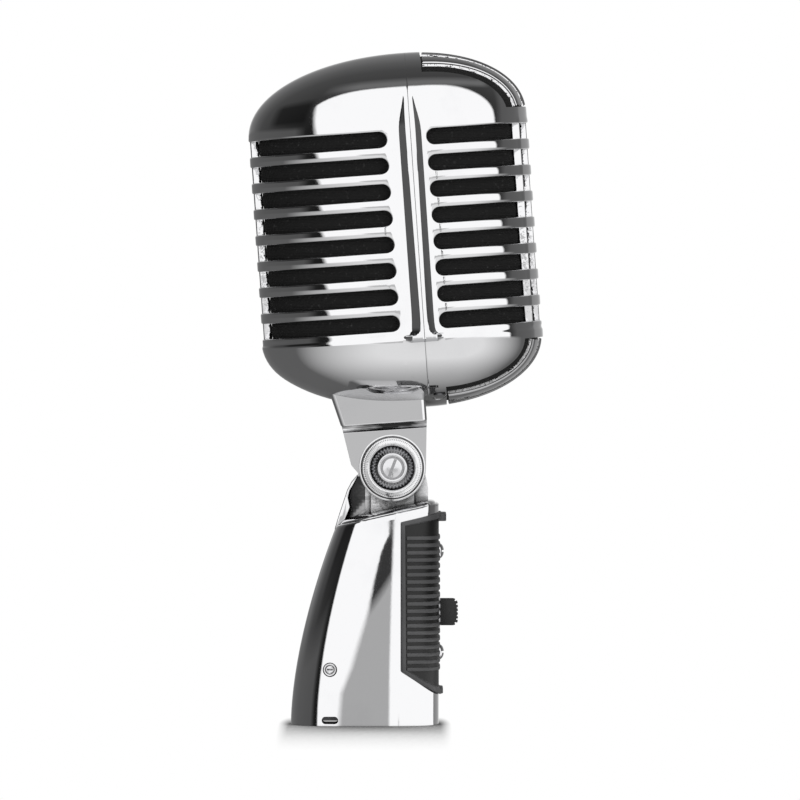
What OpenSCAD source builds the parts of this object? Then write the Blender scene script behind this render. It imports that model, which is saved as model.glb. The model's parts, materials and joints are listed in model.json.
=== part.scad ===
// Stage microphone with a slotted chrome head that tilts on a tapered swivel base.
// Millimetres. +Z is up, the front faces -Y and the tilt axis lies along X.
// The origin is on the bottom face, on the axis of the stand thread.

/* [Head] */
// Width of the head from side to side
head_w = 54.4; // [50:0.2:60]
// Depth of the head from the seam to the front bars
head_front = 33; // [30:0.5:38]
// Depth of the head from the seam to the back
head_rear = 45.4; // [42:0.2:50]
// Height of the head
head_h = 99.6; // [94:0.2:110]
// Thickness of the head shells
head_wall = 2.2; // [1.6:0.1:2.8]
// How square the head is seen from above, 2 being an ellipse
plan_power = 2.7; // [2.2:0.1:3.2]
// Height over which the back curves in at the top
rear_crown = 21.8; // [19:0.2:26]
// Height over which the front curves in at the top
front_crown = 18.8; // [15:0.2:23]
// Height over which the sides curve in at the top
side_crown = 23; // [20:0.5:27]
// Height over which the back curves in at the bottom
rear_bowl = 20.8; // [17:0.2:24]
// Height over which the front curves in at the bottom
front_bowl = 18.4; // [15:0.2:22]
// Height over which the sides curve in at the bottom
side_bowl = 20; // [17:0.5:24]

/* [Grille] */
// Rows of slots
slot_rows = 8; // [6:1:8]
// Distance from one slot to the next
slot_pitch = 7.3; // [6.6:0.1:7.6]
// Height of a slot
slot_h = 4.4; // [3.6:0.1:5]
// Solid strip beside the seam on the rear shell
rear_land = 6.8; // [5:0.2:9]
// Solid strip beside the seam on the front shell
front_land = 4.5; // [3.4:0.1:7]
// Width of the upright bars behind the slots
bar_w = 4; // [3:0.5:5]
// Depth of the upright bars
bar_depth = 2.4; // [1.8:0.2:3]
// Distance between the front upright bars
front_bar_pitch = 12; // [11:0.5:13]
// How far the upright bars lie behind the face
bar_set_back = 0.4; // [0.2:0.1:0.8]
// Thickness of the cloth and foam liner
liner_t = 1.6; // [1:0.2:2.4]
// Height of the raised strip along the seam
strip_rise = 1; // [0.5:0.1:1.2]
// Width of the raised strip on each side of the seam
strip_w = 3; // [2.4:0.2:5]
// Depth of the sunk fields on the crown and the chin, in which three ribs stand
field_depth = 1.3; // [0.8:0.1:1.5]
// Width of the sunk fields
field_w = 38; // [35:0.5:39]

/* [Tilt] */
// How far the head leans back at rest, in degrees
head_lean = 4; // [0:0.5:8]
// Height of the tilt axis above the front of the rim
pivot_rise = 9.9; // [9:0.1:14]
// How far the tilt axis lies behind the stand thread
pivot_back = 1.3; // [0:0.1:3]
// Height of the head above the tilt axis
head_gap = 16.1; // [15.5:0.1:19]
// How far the seam lies in front of the tilt axis
seam_ahead = 11.5; // [10.8:0.1:12.5]
// Diameter of the pivot bolt
bolt_d = 5; // [4:0.1:5.4]
// Running clearance of the bolt in the lug, on the radius
bolt_clearance = 0.05; // [0.02:0.01:0.1]
// Diameter of the bolt's head and of its nut
bolt_head_d = 8.4; // [7.4:0.1:9]
// Diameter of the pivot cups
cup_d = 17.2; // [16:0.1:18]
// Thickness of the pivot cups
cup_t = 2.4; // [2:0.1:3]
// Depth of the recess in the cups
cup_recess = 1.4; // [1:0.1:1.6]

/* [Neck] */
// Thickness of one ear of the neck
ear_t = 3.3; // [2.8:0.1:4]
// Radius of the ears' round ends
ear_r = 9.5; // [9:0.1:9.8]
// Height of the ledge above the tilt axis
ledge_h = 12.5; // [12:0.1:13]
// How far the skirt stands proud of the ears
skirt_step = 1.2; // [0.6:0.1:2]
// How far the neck reaches in front of the tilt axis
neck_front = 10.6; // [10.2:0.1:11]
// How far the neck reaches behind the tilt axis at the ledge
neck_rear = 13.5; // [12.8:0.1:14]
// How much the skirt widens to the back as it rises
skirt_flare = 3.1; // [1:0.1:4]

/* [Base] */
// Width of the base at the bottom
base_w = 38; // [36:0.5:42]
// Distance from the stand thread to the front wall
base_front = 11.7; // [11.5:0.1:13]
// Distance from the stand thread to the back at the bottom
base_rear = 29.8; // [29.4:0.2:33]
// How much the back slopes in up to the rim
rear_taper = 12.4; // [11:0.1:13]
// How much each side slopes in up to the rim
side_taper = 4.8; // [3.4:0.1:5.2]
// Height of the rim at the front
rim_h = 62; // [60:0.1:62.6]
// Slope of the rim down to the back, in degrees
rim_slope = 12.6; // [11:0.2:15]
// Thickness of the housing's wall
base_wall = 2.2; // [1.8:0.1:2.3]
// Height of the shoulder above the rim
shoulder_h = 1.4; // [0.8:0.1:2.5]
// Width of the lug at its pads
lug_w = 14.8; // [13:0.2:16]
// Height of the pads above the sides of the lug
pad_rise = 1; // [0.6:0.1:1.6]
// Width of the pads, seen from the side
pad_w = 12.4; // [11:0.1:13]
// Thickness of the friction washers
washer_t = 0.5; // [0.3:0.1:1]

/* [Stand thread] */
// Bore of the stand bush, the inner diameter of its thread
stand_bore = 14.9; // [14.4:0.1:15.2]
// Wall of the stand bush
bush_wall = 1.35; // [1:0.05:1.5]
// Length of the stand bush
bush_len = 13; // [11:0.5:13.5]

/* [Connector] */
// Diameter of the connector well
well_d = 15.4; // [15.2:0.1:15.6]
// Distance from the stand thread to the connector
well_back = 18.7; // [18.4:0.1:18.8]
// Depth of the well up to the insert
well_depth = 11; // [10:0.5:11.5]
// Diameter of the insert's body above its flange
insert_d = 12.8; // [12:0.1:13]
// Diameter of the connector pins
pin_d = 2.4; // [2.2:0.05:2.5]
// Radius of the circle that the pins stand on
pin_circle = 4.3; // [4.2:0.05:4.5]
// Height of the set screw above the bottom
set_screw_h = 15.7; // [15:0.1:17]

/* [Switch panel] */
// Depth of the recess that the panel lies in
panel_t = 1; // [0.8:0.1:1.2]
// How far the panel wraps back along the sides
panel_wrap = 10.7; // [9:0.1:11.5]
// Distance of the panel's upper edge below the rim at the front
panel_drop = 2.8; // [2.6:0.1:4]
// Height of the panel's lower edge at the front
panel_low = 8.6; // [7:0.1:12]
// How far the bezel stands proud of the housing
bezel_rise = 0.7; // [0.4:0.1:1.2]
// Width of the bezel
bezel_w = 1.4; // [1:0.1:2]
// How far the lip at the panel's upper edge stands out in front
top_lip = 2.3; // [1:0.1:2.6]
// How far the lip at the panel's lower edge stands out in front
low_lip = 1.3; // [0.8:0.1:2]
// Distance from one rib of the panel to the next
rib_pitch = 2.03; // [1.8:0.01:2.4]
// Height of the switch's middle above the bottom
switch_h = 34; // [33:0.1:35]
// Distance between the two panel screws
panel_screw_gap = 28.4; // [27:0.1:30]
// Travel of the switch knob
switch_travel = 5.8; // [4:0.1:6]
// Height of the switch knob
knob_h = 7.4; // [6:0.1:8]
// Width of the switch knob
knob_w = 6.6; // [5:0.1:8]
// How far the knob stands out
knob_out = 5; // [4:0.1:6]

/* [Cartridge] */
// Thickness of the rubber ring round the cartridge
rubber_w = 4.6; // [3.8:0.1:6]
// Length of the cartridge
cartridge_len = 27; // [25:0.5:30]
// Wall of the cartridge case
case_wall = 1.4; // [1:0.1:2]
// Width of the bracket's ring round the rubber mount
bracket_ring_w = 3.9; // [3.4:0.1:4.2]
// Thickness of the bracket's sheet
bracket_t = 1.5; // [1:0.1:2]
// Diameter of the leads
lead_d = 2.4; // [1.6:0.1:2.8]

/* [Hidden] */
$fn = 64;
e = 0.01;
fit = 0.1;
// Size of the cutting blocks, larger than anything they cut
big = 200;

// Heights in the head's own frame, whose origin is the tilt axis
head_bottom = head_gap;
head_top = head_gap + head_h;
seam_y = -seam_ahead;
grille_mid = (head_bottom + head_top) / 2;
grille_h = (slot_rows - 1) * slot_pitch + slot_h;
strip_h = grille_h / 2 + 4.8;
crown_power = 2.1;
bowl_power = 2.05;
ring_points = 44;
dome_steps = 7;

// The neck and what it carries
ear_in = lug_w / 2 + washer_t + 0.15;
ear_out = ear_in + ear_t;
skirt_half = ear_out + skirt_step;
neck_screw_x = 4.5;
neck_screw_y = -4.5;
neck_screw_d = 3;
screw_head_h = 1.8;
lead_y = 5.4;
lead_hole_d = lead_d + 0.8;
boss_top = head_bottom + head_wall + 2.7;

// The tabs of the rear shell that take the screws from the front shell
tab_z = head_bottom + 7;
tab_x = head_w / 4 + 1;
tab_t = 2.5;
tab_w = 5;
post_w = 3.5;
tab_len = 5;
shell_screw_y = seam_y - 2.9;
shell_screw_d = 2.2;
screw_head_d = 3.6;
screw_head_t = 1.2;
screw_seat_z = bowl_at(tab_x) + screw_head_t + 0.4;

// The pivot's height and its stack, from the ear outwards
pivot_h = rim_h + pivot_rise;
cup_seat = ear_out + cup_t - cup_recess;
recess_r = cup_d / 2 - 2.45;
tooth_t = 0.5;
head_seat = cup_seat + tooth_t;
head_t = 2.2;
disc_d = bolt_head_d - 2.8;
thread_d = bolt_d - 1.4;

// The cartridge's place in the head
cartridge_y = seam_y + 2.25;
cartridge_z = grille_mid;
liner_depth = bar_set_back + bar_depth + fit;
ring_gap = 0.2;
ring_bare_w = 1.9;
bracket_ring_r = head_w / 2 - liner_depth - liner_t - ring_gap;
ring_hole_r = bracket_ring_r - bracket_ring_w;
mount_r = bracket_ring_r - ring_bare_w;
cartridge_r = mount_r - rubber_w;
case_front = -cartridge_len / 2 + 1.5;
case_rear = cartridge_len / 2;
pole_r = cartridge_r / 2;
magnet_r = pole_r - 0.8;
coil_in = pole_r + 0.5;
coil_out = coil_in + 0.6;
gap_r = coil_out + 0.5;
yoke_r = cartridge_r - case_wall;
yoke_t = 3;
plate_t = 3;
plate_front = case_front + 4.5;
magnet_front = plate_front + plate_t;
board_t = 1.2;

// The base
taper_power = 1.68;
taper_h = 54.4;
plan_corner = 4;
base_points = 36;
bush_r = stand_bore / 2 + bush_wall;
block_h = bush_len + 1;
well_r = well_d / 2;
flange_t = 2;
insert_top = set_screw_h + 2.4;
set_screw_d = 3.4;
set_boss_d = 7;
bottom_screw_x = base_w / 2 - 6.4;
bottom_screw_y = 9;
bottom_screw_d = 3;
bottom_head_d = 5.8;
bottom_head_t = 2.2;
screw_boss_d = bottom_screw_d + 4.2;
lug_rear = 11;
pad_half = pad_w / 2;
frame_t = 0.8;
frame_gap = 0.7;
block_gap = 0.2;
panel_top = rim_h - panel_drop;
panel_top_slope = rim_slope + 0.4;
panel_low_slope = 32;
knob_low = switch_h - switch_travel / 2;
stem_h = 3.4;
stem_w = 3;
frame_w = 11;
frame_h = panel_screw_gap + 6;
frame_y = -base_front + panel_t + frame_gap + frame_t;
switch_body_w = 9;
switch_body_h = 20;
switch_body_depth = 8;
panel_screw_d = 2.4;
panel_head_d = 4;
panel_screw_len = 6;
terminal_len = 3;
knob_face = -base_front - 0.4;
rib_w = 0.9;
groove_depth = panel_t - 0.45;
screw_inset = 0.4;
pin_inset = 1.5;
rim_step = 0.05;

// Head shapes

function bulge(reach, span, power, rise) =
    reach * pow(max(0, 1 - pow(max(0, rise) / span, power)), 1 / power);

function side_profile(z, reach, crown, bowl, inset) =
    z > grille_mid
        ? bulge(reach - inset, crown - inset, crown_power, z - (head_top - crown))
        : bulge(reach - inset, bowl - inset, bowl_power, head_bottom + bowl - z);

function squared(angle, power) = sign(angle) * pow(abs(angle), 2 / power);

function head_ring(z, inset) =
    let (half = side_profile(z, head_w / 2, side_crown, side_bowl, inset),
         rear = side_profile(z, head_rear, rear_crown, rear_bowl, inset),
         front = side_profile(z, head_front, front_crown, front_bowl, inset))
    [for (i = [0 : ring_points - 1])
        let (a = 360 * i / ring_points)
        [half * squared(cos(a), plan_power),
         seam_y + (sin(a) > 0 ? rear : front) * squared(sin(a), plan_power), z]];

function dome_heights(span, inset) =
    [for (i = [0 : dome_steps])
        (span - inset) * (1 - cos(90 * max(i, 0.4) / dome_steps))];

function head_levels(inset) =
    let (low = dome_heights(max(rear_bowl, front_bowl, side_bowl), inset),
         high = dome_heights(max(rear_crown, front_crown, side_crown), inset))
    concat([for (h = low) head_bottom + inset + h],
           [for (i = [dome_steps : -1 : 0]) head_top - inset - high[i]]);

// Closed solid through a stack of rings that all have the same number of points
module loft(rings) {
    n = len(rings[0]);
    last = len(rings) - 1;
    polyhedron(
        points = [for (r = rings) each r],
        faces = concat(
            [[for (i = [0 : n - 1]) i]],
            [for (k = [0 : last - 1]) for (i = [0 : n - 1])
                each [[k * n + i, (k + 1) * n + i, (k + 1) * n + (i + 1) % n],
                      [k * n + i, (k + 1) * n + (i + 1) % n, k * n + (i + 1) % n]]],
            [[for (i = [n - 1 : -1 : 0]) last * n + i]]));
}

module head_solid(inset) {
    loft([for (z = head_levels(inset)) head_ring(z, inset)]);
}

module in_head() {
    translate([0, pivot_back, pivot_h]) rotate([-head_lean, 0, 0]) children();
}

// Half space behind the seam, and the one in front of it
module behind_seam(gap = 0) {
    translate([-big / 2, seam_y + gap, -big / 2]) cube([big, big, 2 * big]);
}

module before_seam(gap = 0) {
    translate([-big / 2, seam_y - gap - big, -big / 2]) cube([big, big, 2 * big]);
}

// A flat outline given in Y and Z, extruded along X between two places
module across(from, to) {
    translate([from, 0, 0]) rotate([90, 0, 90]) linear_extrude(to - from) children();
}

// The rows of slots on one side of the seam, dir being 1 at the back and -1 in front
module slot_rows(dir, land) {
    for (k = [0 : slot_rows - 1]) {
        z = grille_mid + (k - (slot_rows - 1) / 2) * slot_pitch;
        y = seam_y + dir * (land + slot_h / 2);
        across(-head_w, head_w) {
            translate([y, z]) circle(d = slot_h, $fn = 32);
            translate([y, z - slot_h / 2]) scale([dir, 1]) square([head_w, slot_h]);
        }
    }
}

// A straight wall that follows the head's outline in plan, behind the grille
module grille_wall(outer, inner, height) {
    translate([0, 0, grille_mid - height / 2]) linear_extrude(height) difference() {
        polygon(flat(head_ring(grille_mid, outer)));
        polygon(flat(head_ring(grille_mid, inner)));
    }
}

function flat(ring) = [for (p = ring) [p[0], p[1]]];

// An upright bar behind the slots
module upright(x, width, dir, set_back) {
    intersection() {
        grille_wall(set_back, set_back + bar_depth, grille_h + 3);
        translate([x - width / 2, dir > 0 ? seam_y : seam_y - big, 0]) cube([width, big, big]);
    }
}

module neck_screw_places() {
    for (x = [-neck_screw_x, neck_screw_x]) translate([x, neck_screw_y, 0]) children();
}

// Height of the bowl's outer face under the seam, x from the middle
function bowl_at(x) =
    head_bottom + side_bowl * (1 - pow(1 - pow(x / (head_w / 2), bowl_power), 1 / bowl_power));

// One of the tabs that reach forward from the rear shell over the front shell's floor
module tab(side) {
    inner_x = tab_x - tab_w / 2;
    foot_z = bowl_at(inner_x + post_w) + 0.4;
    scale([side, 1, 1]) {
        translate([inner_x, seam_y - tab_len, tab_z]) cube([tab_w, tab_len + 8, tab_t]);
        translate([inner_x, seam_y + 3, foot_z]) cube([post_w, 5, tab_z + tab_t - foot_z]);
    }
}

module rear_shell() {
    color("silver") in_head() difference() {
        union() {
            difference() {
                intersection() {
                    head_body();
                    behind_seam();
                }
                head_solid(head_wall);
                slot_rows(1, rear_land);
            }
            upright(0, bar_w, 1, bar_set_back);
            neck_screw_places() translate([0, 0, head_bottom + head_wall / 2 + 0.4])
                cylinder(d = 7, h = boss_top - head_bottom - head_wall / 2 - 0.4);
            tab(-1);
            tab(1);
        }
        neck_screw_places() cylinder(d = neck_screw_d + 0.2, h = boss_top + 1);
        translate([0, lead_y, 0]) cylinder(d = lead_hole_d, h = grille_mid);
        shell_screw_places() cylinder(d = shell_screw_d, h = grille_mid);
    }
}

module shell_screw_places() {
    for (x = [-tab_x, tab_x]) translate([x, shell_screw_y, 0]) children();
}

module front_shell() {
    color("silver") in_head() {
        difference() {
            union() {
                difference() {
                    intersection() {
                        head_body();
                        before_seam();
                    }
                    rib_field(1);
                    rib_field(-1);
                    head_solid(head_wall);
                    slot_rows(-1, front_land);
                }
                shell_screw_places() translate([0, 0, screw_seat_z])
                    cylinder(d = 5.4, h = tab_z - screw_seat_z);
            }
            shell_screw_places() {
                cylinder(d = screw_head_d + 0.2, h = screw_seat_z);
                cylinder(d = shell_screw_d + 0.2, h = tab_z + 1);
            }
        }
        for (k = [-1 : 1]) upright(k * front_bar_pitch, bar_w - 1, -1, bar_set_back);
    }
}

// The head's outer form, with the raised strip on both sides of the seam
module head_body() {
    head_solid(0);
    for (dir = [-1, 1]) intersection() {
        translate([0, 0, -dir * strip_rise]) head_solid(-strip_rise);
        translate([0, 0, grille_mid]) scale([1, 1, dir]) for (side = [-1, 1])
            scale([side, 1, 1]) translate([head_w / 4, seam_y - strip_w, 0])
                cube([head_w, 2 * strip_w, strip_h]);
    }
}

// What is cut away round the three ribs over the crown (dir 1) or under the chin (dir -1)
module rib_field(dir) {
    start_y = seam_y - (dir > 0 ? 4 : 6);
    difference() {
        translate([0, 0, grille_mid]) scale([1, 1, dir]) difference() {
            translate([-field_w / 2, start_y - big, strip_h]) cube([field_w, big, big]);
            for (k = [-1 : 1]) translate([k * front_bar_pitch - bar_w / 2, -big, 0]) cube([bar_w, big, big]);
        }
        head_solid(field_depth);
    }
}

module shell_screws() {
    color("dimgray") in_head() shell_screw_places() {
        translate([0, 0, screw_seat_z - screw_head_t]) cylinder(d = screw_head_d, h = screw_head_t);
        translate([0, 0, screw_seat_z - e])
            cylinder(d = shell_screw_d, h = tab_z + tab_t + 1 - screw_seat_z);
    }
}

module liner(dir) {
    intersection() {
        grille_wall(liner_depth, liner_depth + liner_t, grille_h + 3);
        if (dir > 0) behind_seam(fit);
        else before_seam(fit);
    }
}

module rear_liner() {
    color("#181818") in_head() liner(1);
}

module front_liner() {
    color("#181818") in_head() liner(-1);
}

// Neck and pivot

// The ears' outline in Y and Z, round at the pivot
module ear_outline() {
    circle(r = ear_r);
    side = ear_r * cos(30);
    low = -ear_r * sin(30);
    polygon([[-neck_front, ledge_h + 1], [-neck_front, -2.2], [-side, low],
             [side, low], [neck_rear - 3, -2.2], [neck_rear - 2.1, 1.5],
             [neck_rear, ledge_h + 1]]);
}

module skirt_outline() {
    rise = head_bottom - ledge_h + 8;
    polygon([[-neck_front, ledge_h], [neck_rear, ledge_h],
             [neck_rear + skirt_flare, ledge_h + rise], [-neck_front, ledge_h + rise]]);
}

module neck() {
    color("silver") in_head() difference() {
        union() {
            intersection() {
                across(-skirt_half, skirt_half) skirt_outline();
                skirt_plan();
            }
            for (x = [-ear_out, ear_in]) across(x, x + ear_t) ear_outline();
            across(-ear_out, ear_out) intersection() {
                ear_outline();
                translate([-neck_front, ledge_h]) square([neck_front + neck_rear, 2]);
            }
        }
        head_solid(0);
        across(-big / 2, big / 2) circle(d = bolt_d);
        neck_screw_places() {
            cylinder(d = neck_screw_d + 0.2, h = big / 2);
            cylinder(d = 2 * neck_screw_d, h = ledge_h + screw_head_h);
        }
        translate([0, lead_y, 0]) cylinder(d = lead_hole_d, h = big / 2);
    }
}

// Rounded outline of the skirt, seen from above
module skirt_plan() {
    corner = 3.5;
    y0 = -neck_front;
    y1 = neck_rear + skirt_flare;
    linear_extrude(big / 2) {
        translate([-skirt_half, y0 + corner]) square([2 * skirt_half, y1 - y0 - 2 * corner]);
        translate([-skirt_half + corner, y0]) square([2 * (skirt_half - corner), y1 - y0]);
        for (x = [-1, 1]) for (y = [y0 + corner, y1 - corner])
            translate([x * (skirt_half - corner), y]) circle(r = corner, $fn = 32);
    }
}

module neck_screws() {
    color("dimgray") in_head() neck_screw_places() {
        translate([0, 0, ledge_h]) cylinder(d = 2 * neck_screw_d - 0.4, h = screw_head_h);
        translate([0, 0, ledge_h]) cylinder(d = neck_screw_d, h = boss_top + bracket_t + 3.2 - ledge_h);
    }
}

module neck_nuts() {
    color("dimgray") in_head() neck_screw_places() translate([0, 0, boss_top + bracket_t]) difference() {
        cylinder(d = 6.2, h = 2.4, $fn = 6);
        translate([0, 0, -1]) cylinder(d = neck_screw_d, h = 5);
    }
}

// A round piece on the tilt axis, from a profile whose first axis is the radius
module on_pivot(side) {
    in_head() rotate([0, side * 90, 0]) children();
}

module slotted_head() {
    difference() {
        cylinder(d = bolt_head_d, h = head_t);
        translate([0, 0, head_t - 0.5]) cylinder(d = disc_d, h = 1);
        translate([-0.5, 0.25 - disc_d / 2, head_t - 1.3]) cube([1, disc_d - 0.5, 2]);
    }
}

module pivot_bolt() {
    color("silver") {
        on_pivot(-1) translate([0, 0, head_seat]) slotted_head();
        on_pivot(-1) translate([0, 0, -head_seat]) cylinder(d = bolt_d, h = 2 * head_seat + e);
        on_pivot(1) translate([0, 0, head_seat - e]) cylinder(d = thread_d, h = 1);
    }
}

module pivot_nut() {
    color("silver") on_pivot(1) translate([0, 0, head_seat]) difference() {
        slotted_head();
        translate([0, 0, -1]) cylinder(d = thread_d, h = 2);
    }
}

module cup(side) {
    color("silver") on_pivot(side) translate([0, 0, ear_out]) rotate_extrude()
        polygon([[bolt_d / 2, 0], [cup_d / 2, 0], [cup_d / 2, cup_t - 0.5], [cup_d / 2 - 0.5, cup_t],
                 [recess_r, cup_t], [recess_r, cup_t - cup_recess],
                 [bolt_d / 2, cup_t - cup_recess]]);
}

module left_cup() {
    cup(-1);
}

module right_cup() {
    cup(1);
}

module lock_washers() {
    teeth = 18;
    outer = recess_r - 0.45;
    color("dimgray") for (side = [-1, 1]) on_pivot(side) translate([0, 0, cup_seat]) difference() {
        cylinder(r = outer, h = tooth_t);
        translate([0, 0, -1]) cylinder(d = bolt_d, h = 3);
        for (i = [0 : teeth - 1])
            rotate(360 * i / teeth) translate([outer - 0.9, -0.35, -1]) cube([2, 0.7, 3]);
    }
}

// Cartridge

// The cartridge's axis, which runs from the front to the back of the head
module on_cartridge_axis() {
    translate([0, cartridge_y, cartridge_z]) rotate([-90, 0, 0]) children();
}

module in_cartridge() {
    in_head() on_cartridge_axis() children();
}

module tube(r_out, r_in, from, to) {
    translate([0, 0, from]) difference() {
        cylinder(r = r_out, h = to - from);
        translate([0, 0, -1]) cylinder(r = r_in, h = to - from + 2);
    }
}

module cartridge_bracket() {
    foot_z = boss_top;
    plate_w = 18;
    plate_y = cartridge_y - bracket_t / 2;
    color("gainsboro") in_head() difference() {
        union() {
            on_cartridge_axis() tube(bracket_ring_r, ring_hole_r, -bracket_t / 2, bracket_t / 2);
            difference() {
                translate([-plate_w / 2, plate_y, foot_z])
                    cube([plate_w, bracket_t, cartridge_z - ring_hole_r - 1 - foot_z]);
                on_cartridge_axis() translate([0, 0, -5]) cylinder(r = ring_hole_r, h = 10);
            }
            translate([-plate_w / 2, plate_y, foot_z])
                cube([plate_w, neck_screw_y + 4.5 - plate_y, bracket_t]);
        }
        neck_screw_places() cylinder(d = neck_screw_d + 0.2, h = cartridge_z - mount_r);
    }
}

module shock_mount() {
    half = 3.4;
    color("#202020") in_cartridge() rotate_extrude()
        polygon([[cartridge_r, -half], [mount_r, -half], [mount_r, -bracket_t / 2],
                 [ring_hole_r, -bracket_t / 2], [ring_hole_r, bracket_t / 2],
                 [mount_r, bracket_t / 2], [mount_r, half], [cartridge_r, half]]);
}

module cartridge_case() {
    color("darkgray") in_cartridge() difference() {
        translate([0, 0, case_front]) cylinder(r = cartridge_r, h = case_rear - case_front);
        translate([0, 0, case_front - 1])
            cylinder(r = cartridge_r - case_wall, h = case_rear - case_front + 1 - case_wall);
        for (i = [0 : 7]) rotate(45 * i) translate([0.7 * cartridge_r, 0, 0])
            cylinder(d = 2.4, h = cartridge_len);
    }
}

module resonator_cap() {
    color("gray") in_cartridge() difference() {
        translate([0, 0, case_front - 1.5]) cylinder(r = cartridge_r, h = 1.5);
        for (i = [0 : 5]) rotate(60 * i) translate([cartridge_r / 2, 0, -cartridge_len])
            cylinder(d = 3, h = cartridge_len);
        translate([0, 0, -cartridge_len]) cylinder(d = 3, h = cartridge_len);
    }
}

module diaphragm() {
    edge = cartridge_r - case_wall;
    color("gold") in_cartridge() translate([0, 0, case_front + 1.2]) rotate_extrude()
        polygon([[0, -0.9], [0.3 * edge, -0.6], [0.6 * edge, 0], [0.8 * edge, -0.4], [edge, 0],
                 [edge, 0.3], [0.8 * edge, -0.1], [0.6 * edge, 0.3], [0.3 * edge, -0.3], [0, -0.6]]);
}

module voice_coil() {
    color("peru") in_cartridge() tube(coil_out, coil_in, case_front + 1.5, magnet_front);
}

module top_plate() {
    color("gray") in_cartridge() tube(yoke_r, gap_r, plate_front, magnet_front);
}

module pole_piece() {
    color("gray") in_cartridge() translate([0, 0, plate_front]) cylinder(r = pole_r, h = plate_t);
}

module magnet() {
    color("slategray") in_cartridge() translate([0, 0, magnet_front])
        cylinder(r = magnet_r, h = case_rear - case_wall - yoke_t - magnet_front);
}

module yoke() {
    back = case_rear - case_wall;
    color("gray") in_cartridge() difference() {
        translate([0, 0, magnet_front]) cylinder(r = yoke_r, h = back - magnet_front);
        translate([0, 0, magnet_front - 1]) cylinder(r = yoke_r - 2, h = back - yoke_t - magnet_front + 1);
    }
}

module terminal_board() {
    color("darkgreen") in_cartridge() translate([0, 0, case_rear]) {
        cylinder(r = cartridge_r / 2, h = board_t);
        for (x = [-3, 3]) translate([x - 1, 1.5, board_t - e]) cube([2, 4, 0.8]);
    }
}

// Leads

function unit(v) = v / norm(v);

// Points of a smooth route through the given ones
function smooth(route, steps) =
    [for (i = [0 : len(route) - 2]) for (s = [0 : steps - 1])
        let (p0 = route[max(i - 1, 0)], p1 = route[i], p2 = route[i + 1],
             p3 = route[min(i + 2, len(route) - 1)], t = s / steps)
        p1 + t * (p2 - p0) / 2
        + t * t * (p0 - 2.5 * p1 + 2 * p2 - 0.5 * p3)
        + t * t * t * (-p0 + 3 * p1 - 3 * p2 + p3) / 2];

// A round lead along a route that lies in one upright plane through Y and Z
module lead(route) {
    sides = 8;
    path = concat(smooth(route, 3), [route[len(route) - 1]]);
    last = len(path) - 1;
    loft([for (i = [0 : last])
        let (dir = unit(path[min(i + 1, last)] - path[max(i - 1, 0)]),
             up = unit(cross(dir, [1, 0, 0])))
        [for (k = [0 : sides - 1])
            let (a = -360 * k / sides)
            path[i] + lead_d / 2 * (cos(a) * [1, 0, 0] + sin(a) * up)]]);
}

module head_lead() {
    start_y = cartridge_y + case_rear + board_t + 0.8;
    color("#303030") in_head() lead([
        [0, start_y, cartridge_z - 4],
        [0, start_y + 4, cartridge_z - 6],
        [0, start_y + 5, cartridge_z - 14],
        [0, start_y + 3, (cartridge_z + boss_top) / 2],
        [0, lead_y + 1, boss_top + 8],
        [0, lead_y, boss_top],
        [0, lead_y, ledge_h + 0.4]]);
}

// Base

function slimmed(size, taper, z) = size - taper * pow(max(z, 0) / taper_h, taper_power);

function base_ring(z, inset) =
    let (half = slimmed(base_w / 2, side_taper, z) - inset,
         rear = slimmed(base_rear, rear_taper, z) - inset,
         front = base_front - inset,
         mid = (rear - front) / 2,
         reach = (rear + front) / 2)
    [for (i = [0 : base_points - 1])
        let (a = 360 * i / base_points)
        [half * squared(cos(a), plan_corner), mid + reach * squared(sin(a), plan_corner), z]];

// Half the width of the base at a place on its side
function base_side(y, z) =
    let (rear = slimmed(base_rear, rear_taper, z),
         off = abs(y - (rear - base_front) / 2) / ((rear + base_front) / 2))
    slimmed(base_w / 2, side_taper, z) * pow(1 - pow(off, plan_corner), 1 / plan_corner);

module base_solid(inset, from, to, steps = 7) {
    loft([for (i = [0 : steps]) base_ring(from + (to - from) * i / steps, inset)]);
}

// Everything above the sloping rim, moved by lift
module above_rim(lift = 0) {
    translate([0, -base_front, rim_h + lift]) rotate([-rim_slope, 0, 0])
        translate([-big / 2, -big / 2, 0]) cube([big, big, big]);
}

function rim_at(y) = rim_h - (y + base_front) * tan(rim_slope);

// The sloping shoulder that narrows from the rim to the lug
module shoulder() {
    edge = base_ring(rim_h - 4, 0.7);
    mid_y = (edge[base_points / 4][1] + edge[3 * base_points / 4][1]) / 2;
    loft([for (i = [-1 : 4])
        let (a = max(i, 0) * 90 / 4.6,
             wide = 0.5 + 0.5 * cos(a),
             deep = 0.75 + 0.25 * cos(a),
             lift = i < 0 ? -1.5 : rim_step + shoulder_h * sin(a))
        [for (p = edge)
            let (y = mid_y + deep * (p[1] - mid_y))
            [wide * p[0], y, rim_at(y) + lift]]]);
}

// The lug's outline in Y and Z about the pivot
module lug_outline() {
    low = rim_at(pivot_back) - pivot_h - 3;
    circle(r = ear_r - 0.3);
    polygon([[-neck_front + 0.6, -5], [-neck_front + 0.6, low], [lug_rear + 4.4, low - 3],
             [lug_rear + 1.7, -6.6], [lug_rear - 1.8, -1], [0, 0]]);
}

module pad_outline() {
    low = rim_at(pivot_back) - pivot_h - 2;
    circle(r = pad_half + 1.8);
    translate([-pad_half, low]) square([pad_w, -low]);
}

// The panel's outline in Y and Z, grown or shrunk by margin
module panel_outline(margin) {
    y0 = -base_front - 4;
    y1 = -base_front + panel_wrap + margin;
    top = panel_top + margin + 4 * tan(panel_top_slope);
    low = panel_low - margin - 4 * tan(panel_low_slope);
    polygon([[y0, low], [y1, low + (y1 - y0) * tan(panel_low_slope)],
             [y1, top - (y1 - y0) * tan(panel_top_slope)], [y0, top]]);
}

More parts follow.
